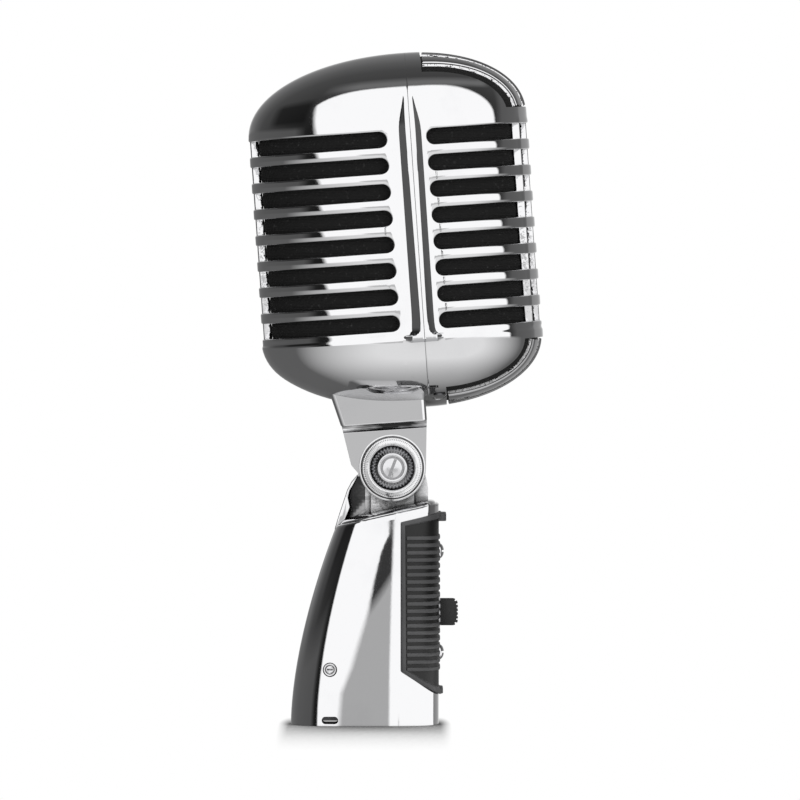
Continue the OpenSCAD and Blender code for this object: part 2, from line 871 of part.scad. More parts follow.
module panel_screw_places() {
    for (z = [-1, 1]) translate([0, 0, switch_h + z * panel_screw_gap / 2]) children();
}

module along_y(y) {
    translate([0, y, 0]) rotate([-90, 0, 0]) children();
}

module base_housing() {
    color("silver") difference() {
        union() {
            difference() {
                base_solid(0, 0, rim_h + 3);
                above_rim();
                difference() {
                    base_solid(base_wall, -1, rim_h);
                    above_rim(-3.5);
                    front_pad();
                    housing_bosses();
                }
            }
            shoulder();
            translate([0, pivot_back, pivot_h]) {
                across(-lug_w / 2 + pad_rise, lug_w / 2 - pad_rise) lug_outline();
                across(-lug_w / 2, lug_w / 2) pad_outline();
            }
        }
        intersection() {
            across(-base_w, base_w) panel_outline(fit);
            difference() {
                base_solid(-3, 0, rim_h);
                base_solid(panel_t, -1, rim_h + 1);
            }
        }
        translate([-frame_w / 2 - fit, -base_front - 3, switch_h - frame_h / 2 - fit])
            cube([frame_w + 2 * fit, 3 + base_front + frame_y, frame_h + 2 * fit]);
        translate([-switch_body_w / 2 - fit, -base_front - 3, switch_h - switch_body_h / 2 - fit])
            cube([switch_body_w + 2 * fit, 12, switch_body_h + 2 * fit]);
        panel_screw_places() along_y(-base_front - 3) cylinder(d = panel_screw_d, h = 9);
        set_screw_place() cylinder(d = set_screw_d, h = base_w);
        latch_slot();
        bottom_screw_places() cylinder(d = bottom_screw_d, h = block_h + 8);
        translate([0, pivot_back, pivot_h]) {
            across(-big / 2, big / 2) circle(r = bolt_d / 2 + bolt_clearance);
            translate([0, lead_y, -25]) cylinder(d = lead_hole_d, h = 50);
        }
    }
}

// Thickening of the front wall behind the switch's frame
module front_pad() {
    translate([-frame_w / 2 - 2, -base_front, switch_h - frame_h / 2 - 1.5])
        cube([frame_w + 4, base_front + frame_y + 1.8, frame_h + 3]);
}

module housing_bosses() {
    panel_screw_places() along_y(-base_front + 1) cylinder(d = 6, h = 6);
    bottom_screw_places() translate([0, 0, block_h]) cylinder(d = screw_boss_d, h = 10);
    set_screw_place() translate([0, 0, well_r + fit]) cylinder(d = set_boss_d, h = base_w / 2);
}

// The set screw's axis, which points out of the left side
module set_screw_place() {
    translate([0, well_back, set_screw_h]) rotate([0, -90, 0]) children();
}

module bottom_screw_places() {
    for (x = [-bottom_screw_x, bottom_screw_x]) translate([x, bottom_screw_y, 0]) children();
}

// The notch at the rim for the plug's latch
module latch_slot() {
    slot_len = 4.6;
    slot_w = 2.1;
    z = 1.6;
    across(-base_w, -well_r + 1) {
        translate([well_back - (slot_len - slot_w) / 2, z - slot_w / 2])
            square([slot_len - slot_w, slot_w]);
        for (side = [-1, 1])
            translate([well_back + side * (slot_len - slot_w) / 2, z]) circle(d = slot_w, $fn = 24);
    }
}

module bottom_block() {
    color("dimgray") difference() {
        base_solid(base_wall + block_gap, 0, block_h, 3);
        translate([0, 0, -1]) cylinder(r = bush_r, h = block_h + 2);
        translate([0, well_back, -1]) cylinder(r = well_r, h = well_depth + flange_t + 1);
        translate([0, well_back, 0]) cylinder(d = insert_d, h = block_h + 1);
        set_screw_place() translate([0, 0, well_r]) cylinder(d = set_boss_d + 2 * fit, h = base_w);
        latch_slot();
        bottom_screw_places() {
            translate([0, 0, -1]) cylinder(d = bottom_screw_d + 0.2, h = block_h + 2);
            translate([0, 0, -1]) cylinder(d = bottom_head_d + 0.2, h = bottom_head_t + 1);
        }
    }
}

module bottom_screws() {
    color("dimgray") bottom_screw_places() {
        translate([0, 0, screw_inset]) cylinder(d = bottom_head_d, h = bottom_head_t - screw_inset);
        translate([0, 0, screw_inset]) cylinder(d = bottom_screw_d, h = block_h + 2 * bottom_screw_d);
    }
}

module stand_bush() {
    color("goldenrod") tube(bush_r, stand_bore / 2, 0, bush_len);
}

module pin_places() {
    for (a = [45, 135, 270])
        translate([pin_circle * cos(a), well_back + pin_circle * sin(a), 0]) children();
}

module xlr_insert() {
    color("#202020") difference() {
        translate([0, well_back, well_depth]) {
            cylinder(r = well_r, h = flange_t);
            cylinder(d = insert_d, h = insert_top - well_depth);
        }
        pin_places() cylinder(d = pin_d, h = insert_top + 1);
    }
}

module xlr_pins() {
    color("silver") pin_places() translate([0, 0, pin_inset]) cylinder(d = pin_d, h = insert_top + 1.5);
}

module xlr_set_screw() {
    wall_x = base_side(well_back, set_screw_h) - 0.2;
    color("silver") set_screw_place() difference() {
        translate([0, 0, insert_d / 2]) cylinder(d = set_screw_d, h = wall_x - insert_d / 2);
        translate([-0.35, -1.2, wall_x - 0.7]) cube([0.7, 2.4, 2]);
    }
}

module switch_panel() {
    color("#1c1c1c") difference() {
        union() {
            intersection() {
                across(-base_w, base_w) difference() {
                    panel_outline(0);
                    panel_outline(-bezel_w);
                }
                difference() {
                    base_solid(-bezel_rise, 0, rim_h);
                    base_solid(panel_t, -1, rim_h + 1);
                }
            }
            intersection() {
                across(-base_w, base_w) panel_outline(-bezel_w / 2);
                difference() {
                    base_solid(0, 0, rim_h);
                    base_solid(panel_t, -1, rim_h + 1);
                }
            }
            panel_lip(panel_top, -1, top_lip);
            panel_lip(panel_low, 1, low_lip);
        }
        panel_grooves();
        panel_screw_places() along_y(-base_front - 3) cylinder(d = panel_screw_d, h = 9);
        translate([-stem_w / 2 - 0.4, -base_front - 3, knob_low - stem_h / 2 - 0.4])
            cube([stem_w + 0.8, 9, switch_travel + stem_h + 0.8]);
    }
}

// A lip across the front at the panel's upper or lower edge, up or down from z
module panel_lip(z, up, reach) {
    lip_w = 14;
    lip_h = 2.6;
    intersection() {
        across(-lip_w / 2, lip_w / 2) panel_outline(0);
        translate([-lip_w / 2, -base_front - reach, up > 0 ? z : z - lip_h])
            cube([lip_w, reach + 0.8 * panel_t, lip_h]);
    }
}

module panel_grooves() {
    count = floor((panel_top - panel_low - 12) / rib_pitch);
    first = switch_h - (count - 1) / 2 * rib_pitch;
    intersection() {
        across(-base_w, base_w) difference() {
            translate([0, -1.3]) panel_outline(-bezel_w - 1);
            for (k = [-1 : count])
                translate([-base_front - 9, first + k * rib_pitch - rib_pitch / 2 + rib_w])
                    square([base_w, rib_pitch - rib_w]);
        }
        difference() {
            base_solid(-3, 0, rim_h);
            base_solid(groove_depth, -1, rim_h + 1);
        }
    }
}

module panel_screws() {
    color("silver") panel_screw_places() along_y(-base_front) {
        translate([0, 0, -1]) cylinder(d1 = panel_screw_d, d2 = panel_head_d, h = 1);
        translate([0, 0, -e]) cylinder(d = panel_screw_d, h = panel_screw_len);
    }
}

module switch_frame() {
    color("gainsboro") difference() {
        translate([-frame_w / 2, frame_y - frame_t, switch_h - frame_h / 2])
            cube([frame_w, frame_t, frame_h]);
        panel_screw_places() along_y(-base_front - 3) cylinder(d = panel_screw_d, h = 9);
        translate([-stem_w / 2 - 0.4, -base_front, knob_low - stem_h / 2 - 0.4])
            cube([stem_w + 0.8, 4, switch_travel + stem_h + 0.8]);
    }
}

module switch_body() {
    color("saddlebrown") difference() {
        union() {
            translate([-switch_body_w / 2, frame_y, switch_h - switch_body_h / 2])
                cube([switch_body_w, switch_body_depth, switch_body_h]);
            for (z = [-6, 0, 6]) translate([-1, frame_y + switch_body_depth - e, switch_h + z - 0.4])
                cube([2, terminal_len, 0.8]);
        }
        translate([-stem_w / 2 - 0.4, frame_y - 1, knob_low - stem_h / 2 - 0.4])
            cube([stem_w + 0.8, 3.4, switch_travel + stem_h + 0.8]);
    }
}

module switch_knob() {
    color("#141414") {
        translate([-knob_w / 2, knob_face - knob_out + 1.2, knob_low - knob_h / 2])
            cube([knob_w, knob_out - 1.2, knob_h]);
        intersection() {
            translate([0, knob_face - knob_out + knob_h, knob_low]) rotate([0, 90, 0])
                cylinder(r = knob_h, h = knob_w, center = true);
            translate([-knob_w / 2, knob_face - knob_out, knob_low - knob_h / 2]) cube([knob_w, 2, knob_h]);
        }
        translate([-stem_w / 2, knob_face - e, knob_low - stem_h / 2])
            cube([stem_w, frame_y + 1.8 - knob_face, stem_h]);
    }
}

module knob_plate() {
    plate_w = knob_w + 1.6;
    plate_h = knob_h + 1.4;
    color("gainsboro") difference() {
        translate([-plate_w / 2, knob_face, knob_low - plate_h / 2]) cube([plate_w, 0.3, plate_h]);
        translate([-stem_w / 2, knob_face - 1, knob_low - stem_h / 2]) cube([stem_w, 3, stem_h]);
    }
}

module friction_washers() {
    color("#302820") translate([0, pivot_back, pivot_h]) for (side = [-1, 1])
        rotate([0, side * 90, 0])
            tube(pad_half + 1.8, bolt_d / 2 + bolt_clearance, lug_w / 2, lug_w / 2 + washer_t);
}

module base_lead() {
    y = pivot_back + lead_y;
    back = frame_y + switch_body_depth + terminal_len + lead_d / 2;
    color("#303030") lead([
        [0, y, pivot_h + ear_r - 1.5],
        [0, y, pivot_h - 8],
        [0, y, rim_at(y) - 8],
        [0, y, switch_h + 14],
        [0, back + 1, switch_h + 9],
        [0, back, switch_h + 4]]);
}

module xlr_lead() {
    back = frame_y + switch_body_depth + terminal_len + lead_d / 2;
    color("#303030") lead([
        [0, back, switch_h + 1],
        [0, back + 3, switch_h - 1],
        [0, well_back - 4, switch_h + 2],
        [0, well_back, switch_h],
        [0, well_back, insert_top + 4],
        [0, well_back, insert_top]]);
}

base_housing();
bottom_block();
bottom_screws();
stand_bush();
xlr_insert();
xlr_pins();
xlr_set_screw();
switch_panel();
panel_screws();
switch_frame();
switch_body();
switch_knob();
knob_plate();
friction_washers();
base_lead();
xlr_lead();
neck();
neck_screws();
neck_nuts();
pivot_bolt();
pivot_nut();
left_cup();
right_cup();
lock_washers();
rear_shell();
front_shell();
shell_screws();
rear_liner();
front_liner();
cartridge_bracket();
shock_mount();
cartridge_case();
resonator_cap();
diaphragm();
voice_coil();
top_plate();
magnet();
pole_piece();
yoke();
terminal_board();
head_lead();
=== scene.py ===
import json
import math
import bpy
import numpy as np
from mathutils import Matrix, Vector


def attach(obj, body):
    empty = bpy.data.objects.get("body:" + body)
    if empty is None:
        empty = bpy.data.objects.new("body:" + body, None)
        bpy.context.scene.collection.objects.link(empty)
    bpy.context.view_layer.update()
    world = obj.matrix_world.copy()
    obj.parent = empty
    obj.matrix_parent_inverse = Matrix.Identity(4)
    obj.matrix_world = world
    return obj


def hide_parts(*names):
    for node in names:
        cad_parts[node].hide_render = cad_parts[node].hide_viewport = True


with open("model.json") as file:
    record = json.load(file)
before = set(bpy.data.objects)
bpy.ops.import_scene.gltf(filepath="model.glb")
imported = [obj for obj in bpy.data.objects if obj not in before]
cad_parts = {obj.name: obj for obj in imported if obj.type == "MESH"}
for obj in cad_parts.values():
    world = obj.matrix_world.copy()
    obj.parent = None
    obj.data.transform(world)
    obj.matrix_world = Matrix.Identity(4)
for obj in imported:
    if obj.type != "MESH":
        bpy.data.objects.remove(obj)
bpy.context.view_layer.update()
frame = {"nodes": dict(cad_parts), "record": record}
mm = 0.001    # every size below is in millimetres
tiny = 0.01   # places closer than this are the same

# the tilt axis, and how the head leans back on it at rest
tilt = dict(back=1.3, height=71.9, lean=4)
pivotPlace = Matrix.Translation((0, tilt["back"] * mm, tilt["height"] * mm))
headPlace = pivotPlace @ Matrix.Rotation(math.radians(-tilt["lean"]), 4, "X")


# the moves that all the pieces share
def makeActive(obj):
    bpy.ops.object.select_all(action="DESELECT")
    obj.select_set(True)
    bpy.context.view_layer.objects.active = obj


def settle(obj, place=None):
    # the object's place goes into its mesh
    makeActive(obj)
    if place is not None:
        obj.matrix_world = place @ obj.matrix_world
    bpy.ops.object.transform_apply(location=True, rotation=True, scale=True)
    return obj


def addShape(kind, name, **settings):
    bpy.ops.object.select_all(action="DESELECT")
    getattr(bpy.ops.mesh, f"primitive_{kind}_add")(**settings)
    bpy.context.object.name = name
    return bpy.context.object


def addBlock(name, low, high):
    # a box between two corners
    middle = [(a + b) / 2 * mm for a, b in zip(low, high)]
    size = [(b - a) * mm for a, b in zip(low, high)]
    return settle(addShape("cube", name, size=1, location=middle, scale=size))


def addRod(name, radius, start, end, axis="X", sides=48, place=(0, 0, 0)):
    # a cylinder along one axis, from start to end, place being its axis
    turn = dict(X=(0, math.pi / 2, 0), Y=(math.pi / 2, 0, 0), Z=(0, 0, 0))[axis]
    centre = list(place)
    centre["XYZ".index(axis)] += (start + end) / 2
    return settle(addShape("cylinder", name, vertices=sides, radius=radius * mm, depth=(end - start) * mm,
                           location=[c * mm for c in centre], rotation=turn))


def joinPieces(name, pieces):
    makeActive(pieces[0])
    for piece in pieces:
        piece.select_set(True)
    bpy.ops.object.join()
    pieces[0].name = name
    return pieces[0]


def applyModifier(obj, kind, **settings):
    makeActive(obj)
    modifier = obj.modifiers.new(kind.lower(), kind)
    for key, value in settings.items():
        setattr(modifier, key, value)
    bpy.ops.object.modifier_apply(modifier=modifier.name)


def cutWith(obj, cutter):
    applyModifier(obj, "BOOLEAN", operation="DIFFERENCE", object=cutter, solver="EXACT")
    bpy.data.objects.remove(cutter, do_unlink=True)


def roundEdges(obj, width, segments=3, angle=50):
    applyModifier(obj, "BEVEL", width=width * mm, segments=segments, limit_method="ANGLE",
                  angle_limit=math.radians(angle), use_clamp_overlap=True)


def weighNormals(obj):
    # large flat faces keep one even normal, and only their rounded edges turn
    applyModifier(obj, "WEIGHTED_NORMAL", keep_sharp=True)


# the moves on an open mesh
def openMesh(obj):
    makeActive(obj)
    bpy.ops.object.mode_set(mode="EDIT")
    bpy.ops.mesh.select_all(action="SELECT")


def endEdit():
    bpy.ops.object.mode_set(mode="OBJECT")


def openChosen(obj, kind, layer, test):
    # open, with only what passes the test selected
    openMesh(obj)
    bpy.ops.mesh.select_mode(type=kind)
    bpy.ops.mesh.select_all(action="DESELECT")
    endEdit()
    for item in getattr(obj.data, layer):
        item.select = bool(test(item))
    bpy.ops.object.mode_set(mode="EDIT")


def openFaces(obj, test):
    # the test gets a face's middle and normal
    openChosen(obj, "FACE", "polygons", lambda face: test(face.center / mm, face.normal))


def insetFaces(width):
    bpy.ops.mesh.inset(thickness=width * mm)


def drawFaces(x=0, y=0, z=0):
    bpy.ops.mesh.extrude_region_move(TRANSFORM_OT_translate={"value": (x * mm, y * mm, z * mm)})


def bevelEdges(obj, width, segments, test):
    # the test gets the two ends of an edge
    def passes(edge):
        return test(*(obj.data.vertices[k].co / mm for k in edge.vertices))
    openChosen(obj, "EDGE", "edges", passes)
    bpy.ops.mesh.bevel(offset=width * mm, segments=segments, affect="EDGES")
    endEdit()


def movePoints(obj, test, x=0, y=0, z=0):
    openChosen(obj, "VERT", "vertices", lambda point: test(point.co / mm))
    bpy.ops.transform.translate(value=(x * mm, y * mm, z * mm))
    endEdit()


def sliceAt(obj, places, axis):
    # cuts new edge loops across a piece, square to one axis
    normal = [0, 0, 0]
    normal[axis] = 1
    openMesh(obj)
    for at in places:
        spot = [0, 0, 0]
        spot[axis] = at * mm
        bpy.ops.mesh.select_all(action="SELECT")
        bpy.ops.mesh.bisect(plane_co=spot, plane_no=normal, threshold=1e-7)
    endEdit()


def cleanMesh(obj):
    gap = 0.002 * mm
    openMesh(obj)
    bpy.ops.mesh.remove_doubles(threshold=gap)
    bpy.ops.mesh.dissolve_degenerate(threshold=gap / 2)
    bpy.ops.mesh.normals_make_consistent(inside=False)
    endEdit()


def endOutwards():
    # ends the edit with all faces outwards
    bpy.ops.mesh.select_all(action="SELECT")
    bpy.ops.mesh.normals_make_consistent(inside=False)
    endEdit()


def addPlate(name, outline, low, high):
    # a plate square to X, from its outline in Y and Z
    plate = addShape("circle", name, vertices=len(outline), radius=mm, fill_type="NGON")
    for point, (y, z) in zip(plate.data.vertices, outline):
        point.co = (low * mm, y * mm, z * mm)
    openMesh(plate)
    drawFaces(x=high - low)
    endOutwards()
    return plate


def arcPoints(radius, start, end, count):
    # points in Y and Z, from one angle to another
    turns = [math.radians(a) for a in np.linspace(start, end, count)]
    return [(radius * math.cos(a), radius * math.sin(a)) for a in turns]


def wrap(obj, surface):
    # the surface function gets the x, y and z of all points, in millimetres, and gives their new ones
    mesh = obj.data
    flat = np.empty(len(mesh.vertices) * 3)
    mesh.vertices.foreach_get("co", flat)
    placed = np.stack(surface(*(flat.reshape(-1, 3) / mm).T), axis=1) * mm
    mesh.vertices.foreach_set("co", placed.ravel())
    mesh.update()


def mirrored(piece, side):
    # side -1 puts the piece at -X, with its faces turned back outwards
    if side < 0:
        piece.scale = (-1, 1, 1)
        settle(piece)
        cleanMesh(piece)
    return piece


def isUpright(a, b):
    return abs(a.x - b.x) < tiny and abs(a.y - b.y) < tiny


def setValue(obj, name, value):
    # a named value on every point, which a paint reads
    layer = obj.data.attributes.new(name, "FLOAT", "POINT")
    layer.data.foreach_set("value", [float(value(point.co / mm)) for point in obj.data.vertices])


def finishPiece(obj, body, slot, *nodes, paint=None):
    # the head's pieces are made upright, and lean back here
    if body == "head":
        settle(obj, headPlace)
    makeActive(obj)
    bpy.ops.object.shade_smooth_by_angle(angle=math.radians(35))
    obj.data.materials.clear()
    obj.data.materials.append(paints[paint or slot])
    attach(obj, body)
    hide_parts(*nodes)
    return obj


# the head: two shells on one outline, squarer than an ellipse seen from above
head = dict(low=16.1, height=99.6, seam=-11.5, seamRound=0.06, wall=2.2, planPower=2.7,
            reach=dict(side=27.2, rear=45.4, front=33),
            crown=dict(side=23, rear=21.8, front=18.8), crownPower=2.1,
            bowl=dict(side=20, rear=20.8, front=18.4), bowlPower=2.05)
headTop = head["low"] + head["height"]
grilleMid = head["low"] + head["height"] / 2
crownSpan = max(head["crown"].values())
bowlSpan = max(head["bowl"].values())
crownBase = headTop - crownSpan
bowlBase = head["low"] + bowlSpan

slots = dict(rows=8, pitch=7.3, height=4.4, rearLand=6.8, frontLand=4.5, round=0.42)
# a raised strip on the seam
ridge = dict(crestLow=0.75, crestHigh=1.3, foot=3.1, rise=1.75, fadeFrom=93, fadeTo=105, flare=2.5)
# the bowl stands a little proud, and so does the middle of the front bars
chin = dict(edge=36.5, step=0.9, rise=0.3, fadeTo=22, fade=8, screwX=14.6, sinkRadius=1.9, sinkFrom=14,
            sinkTo=20.6, sinkForward=2.9)
band = dict(half=15, step=1.2, rise=0.15, high=29.2, endStep=0.6)
# where the flat shells get edge loops: close at the seam and round the chin's rim
loops = dict(seamFrom=0.5, seamStep=0.18, beside=[4.2, 5.2], wide=1.15, wideFrom=6.3, arc=1.2,
             rim=[-1.8, -1.3, -0.9, -0.6, -0.3, 0, 0.35, 0.8, 1.4])


def smoothStep(share):
    share = np.clip(share, 0, 1)
    return share * share * (3 - 2 * share)


def squared(value, power):
    return np.sign(value) * np.abs(value) ** (2 / power)


def bulge(reach, span, power, rise):
    share = np.clip(np.maximum(rise, 0) / span, 0, 1)
    return reach * (1 - share ** power) ** (1 / power)


def headReach(side, z, inset):
    # how far the head reaches at height z, for the surface that lies inset under the outer one
    crown, bowl, reach = head["crown"][side], head["bowl"][side], head["reach"][side] - inset
    high = bulge(reach, crown - inset, head["crownPower"], z - (headTop - crown))
    low = bulge(reach, bowl - inset, head["bowlPower"], head["low"] + bowl - z)
    return np.where(z > grilleMid, high, low)


def headHeight(v, inset):
    # v runs up the unrolled shell: it is the height on the grille, and an arc on crown and bowl
    up = np.clip((v - crownBase) / crownSpan, 0, math.pi / 2)
    down = np.clip((bowlBase - v) / bowlSpan, 0, math.pi / 2)
    high = crownBase + (crownSpan - inset) * np.sin(up)
    low = bowlBase - (bowlSpan - inset) * np.sin(down)
    return np.where(v > crownBase, high, np.where(v < bowlBase, low, v))


def runLength(x, y):
    # how far along a line of points each one lies
    return np.concatenate([[0], np.cumsum(np.hypot(np.diff(x), np.diff(y)))])


def headOutline(part):
    # the outline from the seam on the right, round one half, to the seam on the left
    turn = np.linspace(0, math.pi, 6001)
    x = head["reach"]["side"] * squared(np.cos(turn), head["planPower"])
    y = head["reach"][part] * squared(np.sin(turn), head["planPower"])
    length = runLength(x, y)
    return dict(turn=turn, x=x, y=y, length=length, total=length[-1])


outlines = dict(rear=headOutline("rear"), front=headOutline("front"))


def shellRise(part, s, v, x):
    # how far the ridge, the bowl's rim and the band stand out from the shell
    outline = outlines[part]
    fromSeam = np.minimum(s, outline["total"] - s)
    share = smoothStep((ridge["fadeTo"] - v) / (ridge["fadeTo"] - ridge["fadeFrom"]))
    # the ridge widens where it meets the chin
    near = np.clip(ridge["flare"] - (v - chin["edge"]), 0, ridge["flare"])
    flare = ridge["flare"] - np.sqrt(ridge["flare"] ** 2 - near ** 2)
    crest = np.interp(v, (chin["edge"], ridge["fadeFrom"]), (ridge["crestLow"], ridge["crestHigh"]))
    flank = ridge["foot"] - crest
    strip = np.clip((crest + flank * share + flare - fromSeam) / flank, 0, share)
    strip *= smoothStep((v - chin["edge"] + 2 * chin["step"]) / chin["step"])
    bowlRim = smoothStep((chin["edge"] - v) / chin["step"])
    bowlRim *= smoothStep((v - chin["fadeTo"]) / chin["fade"])
    rise = np.maximum(ridge["rise"] * strip, chin["rise"] * bowlRim)
    if part == "front":
        middle = smoothStep((band["half"] + band["step"] - np.abs(x)) / band["step"])
        for end in (grilleMid - v, v - grilleMid):
            middle *= smoothStep((end + band["high"]) / band["endStep"])
        rise = np.maximum(rise, band["rise"] * middle)
    return rise


def shellSurface(part):
    outline = outlines[part]
    side = 1 if part == "rear" else -1

    def place(s, depth, v):
        turn = np.interp(s, outline["length"], outline["turn"])
        rise = shellRise(part, s, v, np.interp(s, outline["length"], outline["x"]))
        inset = depth - rise * (1 - depth / head["wall"])
        z = headHeight(v, inset)
        x = headReach("side", z, inset) * squared(np.cos(turn), head["planPower"])
        y = headReach(part, z, inset) * squared(np.sin(turn), head["planPower"])
        return x, head["seam"] + side * y, z
    return place


def slotCutter(start, end, z):
    # a rod stretched sideways, so that its ends stay round
    radius = slots["height"] / 2
    rod = addRod("slot", radius, -3, head["wall"] + 3, axis="Y", sides=32, place=(start + radius, 0, z))
    movePoints(rod, lambda p: p.x > start + radius - tiny, x=end - start - 2 * radius)
    return rod


def makeShell(part, land):
    # the shell is cut flat, unrolled, and then bent to its outline
    outline = outlines[part]
    total = outline["total"]
    lowest, highest = bowlBase - bowlSpan * math.pi / 2, crownBase + crownSpan * math.pi / 2
    shell = addBlock(part + "Shell", (0, 0, lowest), (total, head["wall"], highest))
    start = np.interp(land, outline["y"][:3000], outline["length"][:3000])
    middles = [grilleMid + (k - (slots["rows"] - 1) / 2) * slots["pitch"] for k in range(slots["rows"])]
    for z in middles:
        cutWith(shell, slotCutter(start, total - start, z))
    half = slots["height"] / 2 + tiny

    def onSlotRim(a, b):
        if abs(a.y - b.y) > tiny or abs(a.y * (a.y - head["wall"])) > tiny:
            return False
        return (start - tiny < a.x < total - start + tiny
                and any(abs(a.z - z) < half for z in middles)
                and any(abs(b.z - z) < half for z in middles))
    bevelEdges(shell, slots["round"], 3, onSlotRim)
    bevelEdges(shell, head["seamRound"], 2, lambda a, b: max(a.y, b.y) < tiny and abs(a.x - b.x) < tiny
               and (a.x < tiny or a.x > total - tiny))

    nearSeam = list(np.arange(loops["seamFrom"], ridge["foot"] + 0.3, loops["seamStep"])) + loops["beside"]
    columns = nearSeam + [total - s for s in nearSeam]
    columns += list(np.arange(loops["wideFrom"], total - loops["wideFrom"] + 0.5, loops["wide"]))
    if part == "front":
        for x in (band["half"], band["half"] + band["step"] / 2, band["half"] + band["step"]):
            at = np.interp(-x, -outline["x"], outline["length"])
            columns += [at, total - at]
    rows = [grilleMid + k * slots["pitch"] / 2 for k in range(-7, 8)]
    rows += list(np.arange(crownBase + 0.4, highest - 0.3, loops["arc"]))
    rows += list(np.arange(bowlBase - 2.4, lowest + 0.3, -loops["arc"]))
    rows += [chin["edge"] + rise for rise in loops["rim"]]
    sliceAt(shell, columns, 0)
    sliceAt(shell, rows, 2)
    wrap(shell, shellSurface(part))
    cleanMesh(shell)
    return shell


# three ribs stand flush in a sunk field, over the crown and again under the chin
ribs = dict(pitch=12, width=4.4, sunk=0.1, round=0.9, crownStart=4.6, crownEnd=98.7, bowlStart=5.4,
            bowlEnd=33.1, fieldWidth=38, fieldDepth=1.5, clear=0.5, shadeSheet=0.25)


def ribSurface(middle, upper, grow=0):
    # x across the rib, y its depth and z its length from 0 at the seam end to 100
    if upper:
        start = ribs["crownStart"] - grow
        line = np.linspace(crownBase + crownSpan * math.pi / 2, ribs["crownEnd"] - grow, 1500)
    else:
        start = ribs["bowlStart"] - grow
        line = np.linspace(bowlBase - bowlSpan * math.pi / 2, ribs["bowlEnd"] + grow, 1500)

    def place(across, depth, share):
        placed = np.empty((3, len(across)))
        keys = np.round(np.stack([across, depth], axis=1), 4)
        for key in np.unique(keys, axis=0):
            chosen = (keys == key).all(axis=1)
            x, inset = middle + key[0], key[1]
            z = headHeight(line, inset)
            half = np.maximum(headReach("side", z, inset), 1e-6)
            inside = np.clip(1 - (abs(x) / half) ** head["planPower"], 0, 1)
            y = headReach("front", z, inset) * inside ** (1 / head["planPower"])
            along = y >= start
            y, z = y[along], z[along]
            length = runLength(y, z)
            at = share[chosen] / 100 * length[-1]
            placed[0, chosen] = x
            placed[1, chosen] = head["seam"] - np.interp(at, length, y)
            placed[2, chosen] = np.interp(at, length, z)
        return placed
    return place


def makeRib(middle, upper):
    half = ribs["width"] / 2
    rib = addBlock("rib", (-half, ribs["sunk"], 0), (half, ribs["fieldDepth"] + 0.3, 100))
    bevelEdges(rib, ribs["round"], 5, lambda a, b: max(a.y, b.y) < ribs["sunk"] + 0.1)
    sliceAt(rib, range(2, 99, 2), 2)
    setValue(rib, "mottle", lambda p: p.y > 0.5)
    wrap(rib, ribSurface(middle, upper))
    cleanMesh(rib)
    return rib


def makeField(upper, top, grow):
    # a slab in the sunk field: high, it cuts the field, and low, it is a black sheet on the field's floor,
    # the painted shade of the deep field
    half = ribs["fieldWidth"] / 2 - ribs["clear"] + grow
    field = addBlock("field", (-half, top, 0), (half, ribs["fieldDepth"] + (0.2 if top > 0 else 0), 100))
    sliceAt(field, np.linspace(-half, half, 19)[1:-1], 0)
    sliceAt(field, range(3, 99, 3), 2)
    wrap(field, ribSurface(0, upper, grow))
    cleanMesh(field)
    return field


uprights = dict(width=3, rearWidth=4, depth=2.4, back=0.4, half=29, round=0.4, mottle=0.15)


def makeUpright(part, x, width):
    # an upright bar behind the slots
    side = 1 if part == "rear" else -1
    half, reach = head["reach"]["side"] - uprights["back"], head["reach"][part] - uprights["back"]
    edge = abs(x) + (width / 2 if x else 0)
    y = reach * (1 - (edge / half) ** head["planPower"]) ** (1 / head["planPower"])
    near, far = head["seam"] + side * (y - uprights["depth"]), head["seam"] + side * y
    bar = addBlock("upright", (x - width / 2, min(near, far), grilleMid - uprights["half"]),
                   (x + width / 2, max(near, far), grilleMid + uprights["half"]))
    roundEdges(bar, uprights["round"])
    setValue(bar, "mottle", lambda p: uprights["mottle"])
    return bar


cloth = dict(thickness=1.6, half=29, depth=2.9, gap=0.3, sag=0.25)


def makeCloth(part):
    # woven cloth on a foam back, which follows the grille from the inside
    outline = outlines[part]
    side = 1 if part == "rear" else -1
    sheet = addBlock(part + "Cloth", (cloth["gap"], 0, grilleMid - cloth["half"]),
                     (outline["total"] - cloth["gap"], cloth["thickness"], grilleMid + cloth["half"]))
    sliceAt(sheet, np.arange(2, outline["total"] - 1, 2.0), 0)
    sliceAt(sheet, np.arange(grilleMid - 27, grilleMid + 28, 1.8), 2)

    def place(s, under, z):
        turn = np.interp(s, outline["length"], outline["turn"])
        wave = np.cos((z - grilleMid) / slots["pitch"] * 2 * math.pi)
        inset = cloth["depth"] + under + cloth["sag"] * (1 - under / cloth["thickness"]) * wave
        x = (head["reach"]["side"] - inset) * squared(np.cos(turn), head["planPower"])
        y = (head["reach"][part] - inset) * squared(np.sin(turn), head["planPower"])
        return x, head["seam"] + side * np.maximum(y, 0.1), z
    wrap(sheet, place)
    cleanMesh(sheet)
    return sheet


# the neck: a skirt cut to the bowl, a ledge and two ears
neck = dict(front=-10.6, rear=13.5, half=12.55, ledge=12.5, high=8, flare=3.1, flareRise=11.6, corner=1.2,
            ledgeRound=0.35, earIn=8.05, earOut=11.35, earRadius=9.4, draft=0.03, cove=1.2, coveBite=0.95,
            coveDrop=0.75, ringInner=8.8, ringOuter=9.25, ringRise=0.8, bite=0.9, earRear=11.4, earHigh=1.5)


